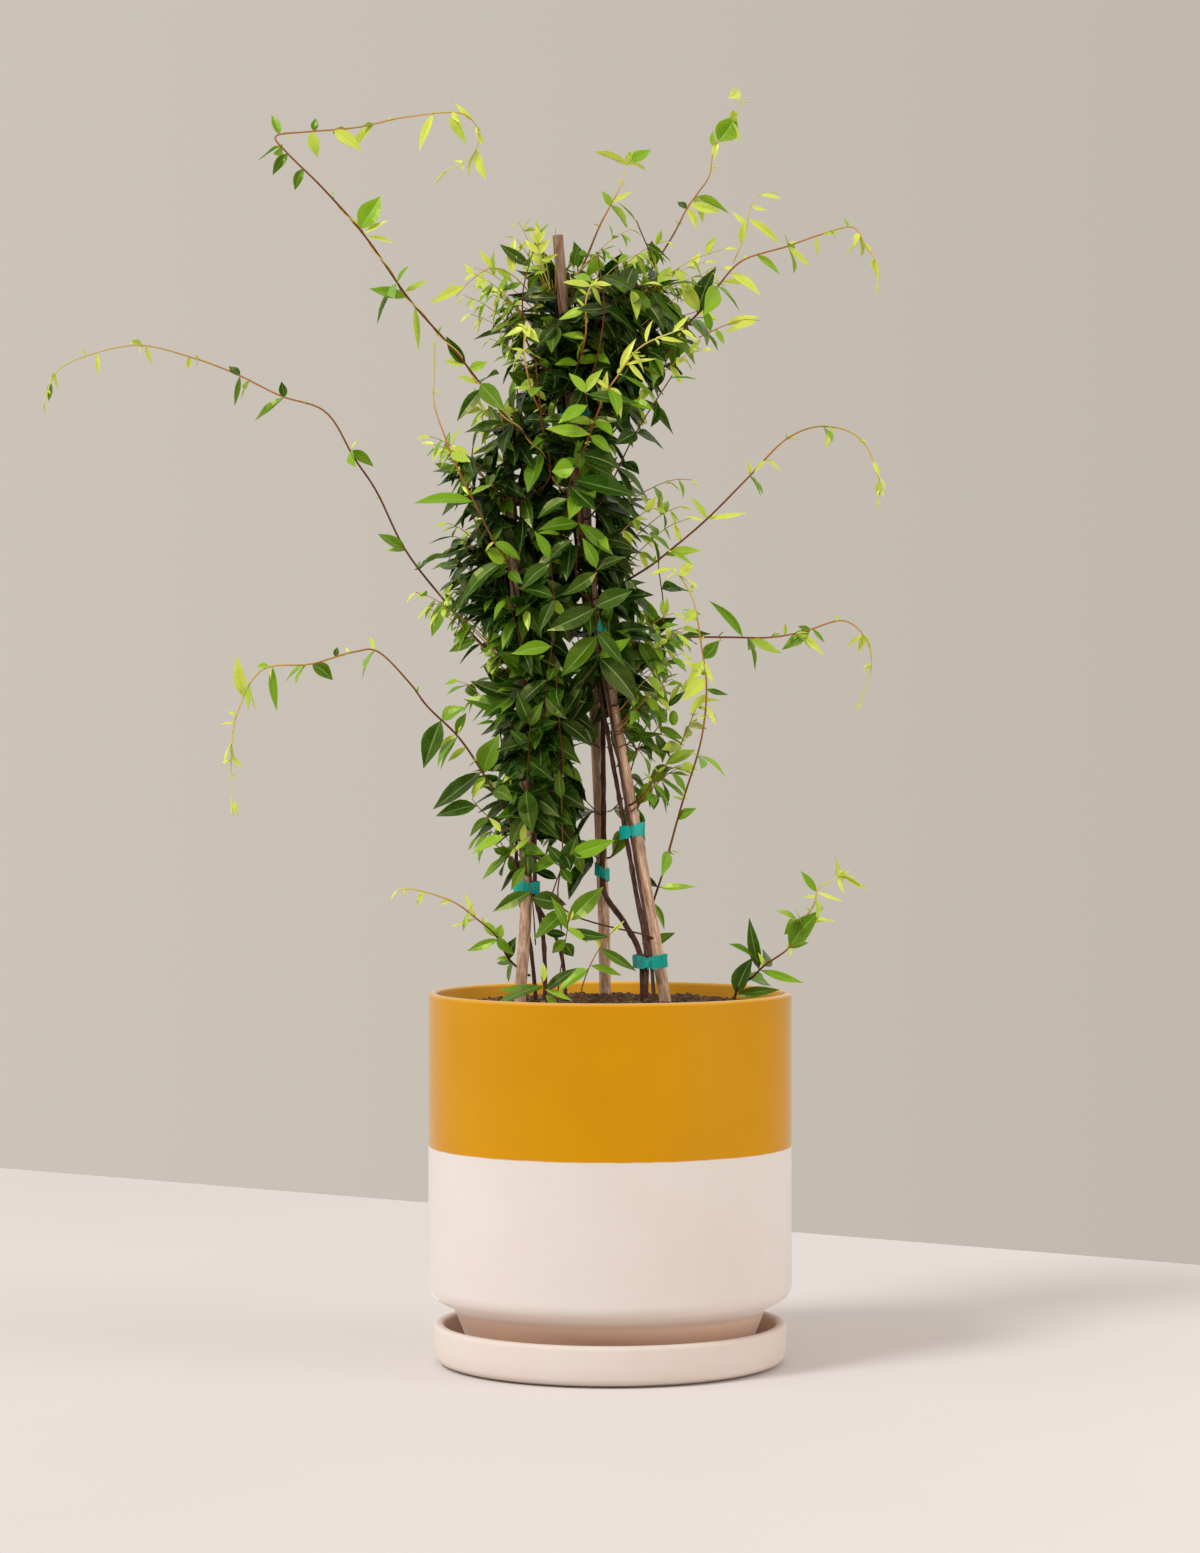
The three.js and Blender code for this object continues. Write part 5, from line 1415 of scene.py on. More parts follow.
class Finish(Nodes):
    """A material built from nodes."""

    ROUND_WIDTH = 0.004

    def __init__(self, name, roughness=0.5):
        self.material = bpy.data.materials.new(name)
        self.material.use_nodes = True
        super().__init__(self.material.node_tree)
        self.shader = self.tree.nodes["Principled BSDF"]
        self.set("Roughness", roughness)
        self.place = self.node("ShaderNodeTexCoord").outputs["Object"]

    def noise(self, scale, detail=3, roughness=0.5, place=None, stretch=None):
        """A noise value, on the object's own coordinates unless another place is given."""
        place = place or self.place
        if stretch:
            place = self.node("ShaderNodeMapping", {"Vector": place, "Scale": stretch}).outputs["Vector"]
        inputs = {"Vector": place, "Scale": scale, "Detail": detail, "Roughness": roughness}
        return self.node("ShaderNodeTexNoise", inputs).outputs["Fac"]

    def cells(self, scale):
        """The distance in a cell pattern."""
        return self.node("ShaderNodeTexVoronoi", {"Vector": self.place, "Scale": scale}).outputs["Distance"]

    def ramp(self, value, stops, kind="EASE"):
        """A colour, or a grey, from a value."""
        node = self.node("ShaderNodeValToRGB", {"Fac": value})
        ramp = node.color_ramp
        ramp.interpolation = kind
        while len(ramp.elements) < len(stops):
            ramp.elements.new(1)
        for element, (position, tone) in zip(ramp.elements, stops):
            element.position = position
            element.color = paint(tone)
        return node.outputs["Color"]

    def blend(self, share, first, second):
        """A mix of two colours."""
        inputs = {0: share, 6: paint(first), 7: paint(second)}
        return self.node("ShaderNodeMix", inputs, data_type="RGBA").outputs[2]

    def over(self, base, mask, share, tone):
        """A tone laid over a colour, as strongly as a mask times a share says."""
        return self.blend(self.sum("MULTIPLY", mask, share), base, tone)

    def sum(self, operation, first, second=0):
        """A sum on two values."""
        return self.node("ShaderNodeMath", {0: first, 1: second}, operation=operation).outputs[0]

    def height(self):
        """How high a point is, in metres."""
        return self.node("ShaderNodeSeparateXYZ", {"Vector": self.place}).outputs["Z"]

    def value(self, name):
        """A number kept on the points."""
        return self.node("ShaderNodeAttribute", attribute_name=name).outputs["Fac"]

    def along(self):
        """A place that follows a stem: round it in the first two axes and along it in the third."""
        inputs = {
            "X": self.sum("MULTIPLY", self.value("turn_x"), self.ROUND_WIDTH),
            "Y": self.sum("MULTIPLY", self.value("turn_y"), self.ROUND_WIDTH),
            "Z": self.value("run"),
        }
        return self.node("ShaderNodeCombineXYZ", inputs).outputs[0]

    def set(self, name, value):
        """Links or sets an input of the shader."""
        self.feed(self.shader.inputs[name], value)

    def bump(self, height, strength, distance):
        """Raises the surface by a height, in metres."""
        inputs = {"Height": height, "Strength": strength, "Distance": distance}
        self.set("Normal", self.node("ShaderNodeBump", inputs).outputs["Normal"])


# How far the pot's colour line wanders, in metres, and how sharply its tones change at that line, at the lip
# and inner wall with their painted light, and towards the foot with its painted warm shade, per metre.
LINE_WOBBLE = 0.0012
LINE_SHARPNESS = 900
WALL_SHARPNESS = 300
FOOT_SHADE_SHARPNESS = 10


def bisque_colour(finish, light, dark):
    """Bare fired clay: a soft cloud of two tones with fine darker specks."""
    cloud = finish.ramp(finish.noise(9, 4, 0.6), [(0.3, light), (0.75, dark)])
    specks = finish.ramp(finish.cells(420), [(0.04, 1), (0.13, 0)])
    rare = finish.ramp(finish.noise(160, 1), [(0.52, 0), (0.62, 1)])
    return finish.over(cloud, finish.sum("MULTIPLY", specks, rare), 0.35, "#b89a86")


def clay_grain(finish, strength):
    """Raises the fine grain of fired clay."""
    grain = finish.sum("ADD", finish.noise(900, 2), finish.sum("MULTIPLY", finish.noise(120, 3), 0.6))
    finish.bump(grain, strength, 0.0006)


def pot_finish(settings):
    """Mustard glaze above a level line and bare clay below it, with painted light on the inner wall and lip
    and painted warm shade towards the foot.
    """
    finish = Finish("glazed_pot")
    z = finish.height()
    wobble = finish.sum("MULTIPLY", finish.sum("SUBTRACT", finish.noise(60, 2), 0.5), LINE_WOBBLE)
    above = finish.sum("SUBTRACT", finish.sum("ADD", z, wobble), settings.line_height)
    edge = finish.sum("ADD", finish.sum("MULTIPLY", above, LINE_SHARPNESS), 0.5)
    is_glazed = finish.ramp(edge, [(0, 0), (1, 1)])
    pools = finish.ramp(finish.noise(7, 3, 0.55), [(0.35, 0), (0.7, 1)])
    glaze = finish.blend(pools, settings.glaze_colour, settings.glaze_pool_colour)
    # Painted light: the inner wall gets a paler glaze colour, as if lit, to offset its shadow.
    level = finish.node("ShaderNodeVectorMath", {0: finish.place, 1: (1, 1, 0)}, operation="MULTIPLY")
    out = finish.node("ShaderNodeVectorMath", {0: level.outputs[0]}, operation="LENGTH").outputs["Value"]
    off_wall = finish.sum("SUBTRACT", out, (POT_RADIUS - POT_WALL / 2) * MM)
    painted_inner_light = finish.ramp(finish.sum("MULTIPLY", off_wall, -WALL_SHARPNESS), [(0, 0), (0.6, 1)])
    glaze = finish.over(glaze, painted_inner_light, 0.9, "#fab52e")
    # The paler lip is partly glaze thinning over the edge and partly a painted highlight.
    off_lip = finish.sum("SUBTRACT", z, LIP_Z * MM)
    lip_thin_glaze_and_highlight = finish.ramp(finish.sum("MULTIPLY", off_lip, WALL_SHARPNESS), [(0, 0), (0.8, 1)])
    glaze = finish.over(glaze, lip_thin_glaze_and_highlight, 0.35, "#f8bf66")
    clay = bisque_colour(finish, settings.clay_colour, "#ded2ca")
    # Painted shade: a warm darker tone towards the foot stands in for the shadow and bounced light above the
    # saucer.
    painted_foot_shade = finish.ramp(finish.sum("MULTIPLY", z, FOOT_SHADE_SHARPNESS), [(0.35, 1), (0.66, 0)])
    clay = finish.over(clay, painted_foot_shade, 0.85, "#dfb596")
    finish.set("Base Color", finish.blend(is_glazed, clay, glaze))
    finish.set("Roughness", finish.ramp(is_glazed, [(0, 0.85), (1, 0.42)], "LINEAR"))
    finish.set("Specular IOR Level", 0.1)
    finish.set("Sheen Weight", 0.85)
    finish.set("Sheen Roughness", 0.3)
    clay_grain(finish, 0.12)
    return finish.material


def saucer_finish(settings):
    """Bare clay, a little pinker than the pot's."""
    finish = Finish("bare_clay", 0.85)
    finish.set("Base Color", bisque_colour(finish, settings.saucer_colour, "#dccbc0"))
    clay_grain(finish, 0.14)
    return finish.material


def soil_finish(settings):
    """Dark potting soil of brown crumbs and fibres."""
    finish = Finish("potting_soil", 1)
    tones = [(0.3, "#3a281b"), (0.5, settings.soil_colour), (0.72, "#a67f5e")]
    tone = finish.ramp(finish.noise(95, 5, 0.65), tones)
    fibres = finish.ramp(finish.noise(260, 2, stretch=(1, 0.25, 1)), [(0.62, 0), (0.7, 1)])
    finish.set("Base Color", finish.over(tone, fibres, 0.5, "#8a6a4c"))
    finish.bump(finish.noise(300, 5, 0.7), 0.9, 0.002)
    return finish.material


def cane_finish(settings):
    """Weathered cane: long pale and dark streaks, grey bloom, a browner top and dark joints."""
    finish = Finish("weathered_cane", 0.7)
    place = finish.along()
    streaks = finish.noise(900, 3, 0.6, place, (1, 1, 0.06))
    tone = finish.ramp(streaks, [(0.3, "#a47a5b"), (0.5, settings.cane_colour), (0.68, "#f0d8bb")])
    blotches = finish.ramp(finish.noise(45, 4, 0.65, place, (3, 3, 1)), [(0.42, 0), (0.62, 1)])
    weathered = finish.over(tone, blotches, 0.5, "#7c5844")
    top = finish.ramp(finish.height(), [(0.6, 0), (0.88, 0.55)])
    weathered = finish.blend(top, weathered, "#80584a")
    finish.set("Base Color", finish.over(weathered, finish.value("joint"), 0.7, "#4d3626"))
    finish.set("Roughness", finish.ramp(blotches, [(0, 0.55), (1, 0.85)], "LINEAR"))
    finish.bump(finish.sum("ADD", streaks, finish.noise(300, 3, 0.5, place)), 0.35, 0.0006)
    return finish.material


def bark_finish(settings):
    """Thin flaking bark, dark reddish brown with grey ridges along it."""
    finish = Finish("flaking_bark", 0.85)
    place = finish.along()
    ridges = finish.noise(1100, 4, 0.65, place, (1, 1, 0.18))
    tone = finish.ramp(ridges, [(0.32, "#24120c"), (0.5, settings.bark_colour), (0.68, "#8a5f48")])
    patches = finish.ramp(finish.noise(70, 3, 0.6, place), [(0.5, 0), (0.7, 1)])
    finish.set("Base Color", finish.over(tone, patches, 0.55, "#7c5a4a"))
    finish.bump(ridges, 0.8, 0.0012)
    return finish.material


def tape_finish(settings):
    """Stretched plant tape: glossy thin plastic with fine cross wrinkles."""
    finish = Finish("plant_tape", 0.35)
    cloud = finish.ramp(finish.noise(140, 3), [(0.35, 0), (0.7, 1)])
    finish.set("Base Color", finish.blend(cloud, settings.tape_colour, "#0fb4a6"))
    finish.set("Specular IOR Level", 0.3)
    finish.bump(finish.noise(420, 3, 0.6, stretch=(1, 1, 0.15)), 0.5, 0.0008)
    return finish.material


def leaf_finish(settings):
    """Glossy leaves with a paler midrib and side veins, and stems that turn from brown to green."""
    finish = Finish("leaf_and_stem")
    age = finish.value("age")
    uv = finish.node("ShaderNodeUVMap").outputs["UV"]
    split = finish.node("ShaderNodeSeparateXYZ", {"Vector": uv})
    across = finish.sum("ABSOLUTE", finish.sum("SUBTRACT", split.outputs["X"], 0.5))
    rib = finish.ramp(across, [(0.015, 1), (0.05, 0)])
    slanted = finish.sum("SUBTRACT", split.outputs["Y"], finish.sum("MULTIPLY", across, 0.55))
    waves = finish.sum("FRACT", finish.sum("MULTIPLY", slanted, 9))
    veins = finish.ramp(finish.sum("ABSOLUTE", finish.sum("SUBTRACT", waves, 0.5)), [(0.02, 1), (0.1, 0)])
    # The old colour is also painted shade on the leaves deep inside the mass.
    old = finish.blend(finish.value("tint"), settings.old_and_shaded_leaf_colour, settings.leaf_colour)
    fresh = finish.blend(finish.ramp(age, [(0.15, 0), (0.62, 1)]), old, settings.fresh_leaf_colour)
    blade = finish.blend(finish.ramp(age, [(0.5, 0), (0.9, 1)]), fresh, settings.young_leaf_colour)
    clouds = finish.ramp(finish.noise(70, 4, 0.6), [(0.4, 0), (0.75, 0.18)])
    mottled = finish.blend(clouds, blade, "#5d8a24")
    lines = finish.sum("MAXIMUM", finish.sum("MULTIPLY", rib, 0.42), finish.sum("MULTIPLY", veins, 0.07))
    veined = finish.blend(lines, mottled, "#a9c36a")
    stalk = finish.ramp(age, [
        (0, "#361a13"), (0.4, "#6c2f1a"), (0.62, "#ae7032"), (0.85, "#cdb05a"), (1, "#d3d67c"),
    ])
    finish.set("Base Color", finish.blend(finish.value("is_leaf"), stalk, veined))
    finish.set("Roughness", finish.ramp(finish.noise(40, 2), [(0.3, 0.22), (0.7, 0.36)], "LINEAR"))
    grain = finish.sum("MULTIPLY", finish.noise(500, 2), 0.3)
    finish.bump(finish.sum("SUBTRACT", grain, lines), 0.3, 0.00025)
    finish.set("Specular IOR Level", 0.45)
    finish.set("Specular Tint", (1, 1, 0.3, 1))
    finish.set("Subsurface Weight", 0.15)
    finish.set("Subsurface Scale", 0.002)
    finish.set("Subsurface Radius", (0.6, 1, 0.2))
    return finish.material


def floor_finish(settings):
    """A smooth pale floor."""
    finish = Finish("pale_floor", 0.9)
    tone = finish.ramp(finish.noise(2, 2), [(0.3, settings.floor_colour), (0.7, "#ded7d3")])
    finish.set("Base Color", tone)
    finish.set("Specular IOR Level", 0)
    return finish.material


FINISHES = {
    "glazed_pot": pot_finish, "saucer": saucer_finish, "soil": soil_finish, "bamboo": cane_finish,
    "bark": bark_finish, "tape": tape_finish, "leaf": leaf_finish, "young_leaf": leaf_finish,
}


@functools.cache
def made(finish):
    """A finish, made once for all the pieces that share it."""
    return finish(bpy.context.scene.jasmine)


# What a user would change

def length(name, description, millimetres):
    """A length property with a default in millimetres."""
    return bpy.props.FloatProperty(
        name=name, description=description, default=millimetres * MM, unit="LENGTH", subtype="DISTANCE",
        precision=4)


def colour(name, description, code):
    """A colour property."""
    return bpy.props.FloatVectorProperty(
        name=name, description=description, default=paint(code), size=4, min=0, max=1, subtype="COLOR")


class JasmineSettings(bpy.types.PropertyGroup):
    """Sizes and colours of the pot and the plant."""

    line_height: length("Colour line", "Height of the line between glaze and bare clay", COLOUR_LINE_Z)
    tape_thickness: length("Tape thickness", "Thickness of the plant tape", 0.5)
    crumbs: bpy.props.IntProperty(name="Crumbs", description="Loose crumbs on the soil", default=2600, min=1)
    sun: bpy.props.FloatProperty(name="Light", description="Strength of the main light", default=1.5, min=0)
    glaze_colour: colour("Glaze", "Colour of the glaze", "#cf9000")
    glaze_pool_colour: colour("Glaze pools", "Colour of the glaze where it is thicker", "#c98b00")
    clay_colour: colour("Clay", "Colour of the pot's bare clay", "#e1d7d0")
    saucer_colour: colour("Saucer", "Colour of the saucer's clay", "#dfd2c8")
    soil_colour: colour("Soil", "Middle tone of the soil", "#6a4c35")
    cane_colour: colour("Canes", "Middle tone of the canes", "#d6aa89")
    bark_colour: colour("Bark", "Middle tone of the woody stems", "#4e2a1c")
    tape_colour: colour("Tape", "Colour of the plant tape", "#009f90")
    # Also painted shade: the leaves deep inside the mass lean to this colour.
    old_and_shaded_leaf_colour: colour("Old leaves", "Colour of the oldest leaves", "#0b1a05")
    leaf_colour: colour("Leaves", "Colour of most leaves", "#264b08")
    fresh_leaf_colour: colour("Fresh leaves", "Colour of this year's leaves", "#7aa81a")
    young_leaf_colour: colour("Young leaves", "Colour of the newest leaves", "#dbe35e")
    floor_colour: colour("Floor", "Colour of the floor", "#e0d9d6")


# The pieces, each with its own operator

class JASMINE_OT_pot(bpy.types.Operator):
    """Turns the pot with its rounded rim, tapered foot and drain hole"""

    bl_idname = "jasmine.pot"
    bl_label = "Pot"

    def execute(self, context):
        pot = turned(rounded(POT_SECTION))
        bpy.ops.object.shade_smooth_by_angle(angle=SMOOTH_ANGLE)
        finished(pot, "glazed_pot", "glazed_pot", "pot")
        return {"FINISHED"}


class JASMINE_OT_saucer(bpy.types.Operator):
    """Turns the saucer with its rolled rim"""

    bl_idname = "jasmine.saucer"
    bl_label = "Saucer"

    def execute(self, context):
        saucer = turned(rounded(SAUCER_SECTION))
        bpy.ops.object.shade_smooth_by_angle(angle=SMOOTH_ANGLE)
        finished(saucer, "clay_saucer", "saucer", "saucer")
        return {"FINISHED"}


def soil_height(x, y):
    """The height of the soil's loose surface, in millimetres."""
    mound = mix(SOIL_EDGE_Z + SOIL_MOUND, SOIL_EDGE_Z, min(1, math.hypot(x, y) / INSIDE) ** 2)
    return mound + sum(noise.noise(Vector((x / w, y / w, level))) * high for w, level, high in SOIL_LUMPS)


class JASMINE_OT_soil(bpy.types.Operator):
    """Fills the pot with soil and scatters loose crumbs on it"""

    bl_idname = "jasmine.soil"
    bl_label = "Soil"

    RINGS = 36
    CRUMB_EDGE = 4
    CRUMB_SIZE = [0.9, 2.6]
    CRUMB_RARENESS = 2.5

    def execute(self, context):
        edge = INSIDE - SOIL_EDGE_GAP
        rings = [[edge * (1 - i / self.RINGS), SOIL_EDGE_Z] for i in range(self.RINGS)]
        soil = turned([
            [MIDDLE, INNER_FLOOR_Z], [INNER_BASE_RADIUS - SOIL_GAP, INNER_FLOOR_Z],
            [INNER_FOOT_RADIUS - SOIL_GAP, INNER_FOOT_Z + SOIL_GAP], [edge, INNER_SHOULDER_Z + SOIL_GAP],
            *rings, [MIDDLE, SOIL_EDGE_Z],
        ])
        points = points_of(soil.data)
        for point in points:
            if point[2] > (SOIL_EDGE_Z - 1) * MM:
                point[2] = soil_height(point[0] / MM, point[1] / MM) * MM
        set_points(soil.data, points)
        bpy.ops.object.shade_smooth()
        finished(soil, "potting_soil", "soil", "soil")
        self.scatter(context.scene.jasmine.crumbs)
        return {"FINISHED"}

    def scatter(self, count):
        """One crumb copied all over the surface at its own size and turn."""
        bpy.ops.mesh.primitive_ico_sphere_add(subdivisions=1, radius=1)
        crumb = bpy.context.object
        shape = points_of(crumb.data)
        draw = draws(FIRST_SEED)
        crumbs = []
        for _ in range(count):
            radius = math.sqrt(draw()) * (INSIDE - self.CRUMB_EDGE)
            angle = draw() * 2 * math.pi
            size = self.CRUMB_SIZE[0] + self.CRUMB_SIZE[1] * draw() ** self.CRUMB_RARENESS
            x, y = radius * math.cos(angle), radius * math.sin(angle)
            lumps = np.array([0.75 + 0.5 * draw() for _ in shape])[:, None]
            middle = np.array([x, y, soil_height(x, y) + size * 0.2])
            stretch = [size, size * mix(0.6, 1.2, draw()), size * 0.7]
            crumbs.append(own_copy(crumb))
            set_points(crumbs[-1].data, (middle + shape * lumps * stretch) * MM)
        bpy.data.objects.remove(crumb)
        finished(joined(crumbs), "soil_crumbs", "soil")


class JASMINE_OT_canes(bpy.types.Operator):
    """Draws the three canes with their joints and hollow tops"""

    bl_idname = "jasmine.canes"
    bl_label = "Canes"

    SIDES = 20
    RING_STEP = 2.2
    SWELL, SWELL_WIDTH = 0.12, 0.007
    GROOVE, GROOVE_WIDTH, GROOVE_OFF = 0.06, 0.0022, 0.006
    DARK_WIDTH = 0.005

    def execute(self, context):
        for name, stake in plant().stakes.items():
            joints = np.array(stake.facts["joints"])

            def radius_at(t, joints=joints):
                swell = np.exp(-(((t - joints) / self.SWELL_WIDTH) ** 2)).sum() * self.SWELL
                off = t - joints - self.GROOVE_OFF
                groove = np.exp(-((off / self.GROOVE_WIDTH) ** 2)).sum() * self.GROOVE
                return STAKE_RADIUS * mix(1, STAKE_TAPER, t) * (1 + swell - groove)

            rings = round(stake.course.length() / self.RING_STEP)
            blank = tube_blank(self.SIDES, rings, is_hollow=True)
            cane = drawn_along(blank, stake.course, radius_at, roughness=0.07, seed=len(name))
            places = values_of(cane.data, "place")
            near = np.exp(-(((places[:, None] - joints) / self.DARK_WIDTH) ** 2)).sum(axis=1)
            set_value(cane.data, "joint", near)
            finished(cane, name.replace("stake", "cane"), "bamboo", name)
        return {"FINISHED"}


class JASMINE_OT_trunks(bpy.types.Operator):
    """Draws the woody stems with their knobbly bark"""

    bl_idname = "jasmine.trunks"
    bl_label = "Woody stems"

    SIDES = 12
    RING_STEP = 2.5
    KNOT_STEP = 32
    KNOT, KNOT_WIDTH = 0.28, 3

    def execute(self, context):
        for name, trunk in plant().trunks.items():
            length = trunk.course.length()
            count = round(length / self.KNOT_STEP)
            knots = (np.arange(count) + 0.5) / count

            def radius_at(t, trunk=trunk, knots=knots, length=length):
                knot = np.exp(-(((t - knots) * length / self.KNOT_WIDTH) ** 2)).sum()
                return trunk.radius_at(t) * BARK_SLIMNESS * (1 + self.KNOT * knot)

            blank = tube_blank(self.SIDES, round(length / self.RING_STEP))
            wood = drawn_along(blank, trunk.course, radius_at, roughness=0.3, seed=len(name))
            finished(wood, name.replace("trunk", "bark"), "bark", name)
        return {"FINISHED"}


class JASMINE_OT_ties(bpy.types.Operator):
    """Wraps the tape ties and pinches their tabs"""

    bl_idname = "jasmine.ties"
    bl_label = "Ties"

    ROUND = 48
    CUTS = 5
    RIPPLE = 0.03
    EDGE_RIPPLE = 0.5
    GATHER = 0.4

    def execute(self, context):
        for name, (z, holds) in TIES.items():
            band = self.band(holds, z, TAPE_SLOPES.get(name, TAPE_SLOPE))
            apply_modifier("SOLIDIFY", thickness=context.scene.jasmine.tape_thickness, offset=1)
            piece = joined([band, self.tab(holds, z)])
            bpy.ops.object.shade_smooth_by_angle(angle=SMOOTH_ANGLE)
            finished(piece, name.replace("tie", "tape"), "tape", name)
        return {"FINISHED"}

    def band(self, holds, z, slope):
        """A wrinkled band that follows what it holds, gathered at its front and a little aslant."""
        deselect()
        bpy.ops.mesh.primitive_cylinder_add(
            vertices=self.ROUND, radius=1, depth=1, location=(0, 0, 0), end_fill_type="NOTHING")
        edit()
        pick(lambda e: abs(e.verts[0].co.z - e.verts[1].co.z) > 0.5, "edges")
        bpy.ops.mesh.subdivide(number_cuts=self.CUTS)
        bpy.ops.object.mode_set(mode="OBJECT")
        band = bpy.context.object
        loop = plant().loop_round(holds, z, TAPE_SLACK + 0.2, self.ROUND)
        centre = loop.mean(axis=0)
        placed = []
        for x, y, height in points_of(band.data):
            angle = math.atan2(y, x)
            i = round((angle % (2 * math.pi)) / (2 * math.pi) * self.ROUND) % self.ROUND
            ripple = 1 + self.RIPPLE * noise.noise(Vector((x * 3, y * 3, height * 2 + z)))
            edge = self.EDGE_RIPPLE * noise.noise(Vector((x * 2, y * 2, z)))
            spot = centre + (loop[i] - centre) * ripple
            gathered = math.exp(-(((spot[0] - centre[0]) / TAPE_PINCH) ** 2)) if y < 0 else 0
            rise = height * (TAPE_WIDTH - 1) * (1 - self.GATHER * gathered) + edge
            placed.append([spot[0], spot[1], z + rise + slope * (spot[0] - centre[0])])
        set_points(band.data, np.array(placed) * MM)
        return band

    def tab(self, holds, z):
        """The pinched double end of the tape, fanned out a little."""
        outer = plant().loop_round(holds, z, TAPE_SLACK + TAPE_THICKNESS)
        front = min(outer, key=lambda p: p[1])
        deselect()
        bpy.ops.mesh.primitive_cube_add(size=1)
        edit()
        bpy.ops.mesh.select_all(action="SELECT")
        bpy.ops.mesh.subdivide(number_cuts=self.CUTS)
        bpy.ops.object.mode_set(mode="OBJECT")
        tab = bpy.context.object
        x, y, height = points_of(tab.data).T
        out = 0.5 - y
        thick = np.where(out < 0.3, 1.0, 0.8)
        curl = 1.2 * np.sin(2.4 * out) * np.cos(2 * height + z)
        placed = np.stack([
            outer[:, 0].mean() + x * thick + curl * out,
            front[1] + 0.7 - out * TAPE_TAB * 0.6,
            z + height * (TAPE_WIDTH - 1.5) * (0.6 + 0.4 * out),
        ], axis=1)
        set_points(tab.data, placed * MM)
        return tab


class JASMINE_OT_shoots(bpy.types.Operator):
    """Grows the long shoots with their leaves"""

    bl_idname = "jasmine.shoots"
    bl_label = "Long shoots"

    def execute(self, context):
        leafy_pieces(SHOOTS, sides=8, step=4, old="shoot", new="runner", slot="young_leaf")
        return {"FINISHED"}


class JASMINE_OT_sprays(bpy.types.Operator):
    """Grows the leafy sprays round the canes"""

    bl_idname = "jasmine.sprays"
    bl_label = "Sprays"

    def execute(self, context):
        sprays = [name for name in plant().stems if name.startswith("spray")]
        leafy_pieces(sprays, sides=6, step=6, old="spray", new="leafy_spray", slot="leaf")
        return {"FINISHED"}


class JASMINE_OT_twigs(bpy.types.Operator):
    """Fills the leafy mass with small twigs"""

    bl_idname = "jasmine.twigs"
    bl_label = "Twigs"

    def execute(self, context):
        blank = leaf_blank()
        for bunch, names in {**plant().twigs, "by_hand": list(HAND_TWIGS)}.items():
            pods = [self.pod(place) for place in PODS] if bunch == "by_hand" else []
            piece = joined([leafy_stem(name, blank, sides=5, step=8) for name in names] + pods)
            finished(piece, f"twigs_{bunch}", "leaf")
        bpy.data.objects.remove(blank)
        return {"FINISHED"}

    def pod(self, place):
        """A ribbed oval seed pod."""
        deselect()
        bpy.ops.mesh.primitive_uv_sphere_add(segments=16, ring_count=10, radius=1)
        pod = bpy.context.object
        points = points_of(pod.data)
        ribs = 1 + 0.06 * np.cos(4 * np.arctan2(points[:, 1], points[:, 0]))
        points[:, :2] *= ribs[:, None]
        set_points(pod.data, (points * POD_SIZE + place) * MM)
        bpy.ops.object.shade_smooth()
        set_looks(pod.data, POD_AGE, is_leaf=1)
        return pod


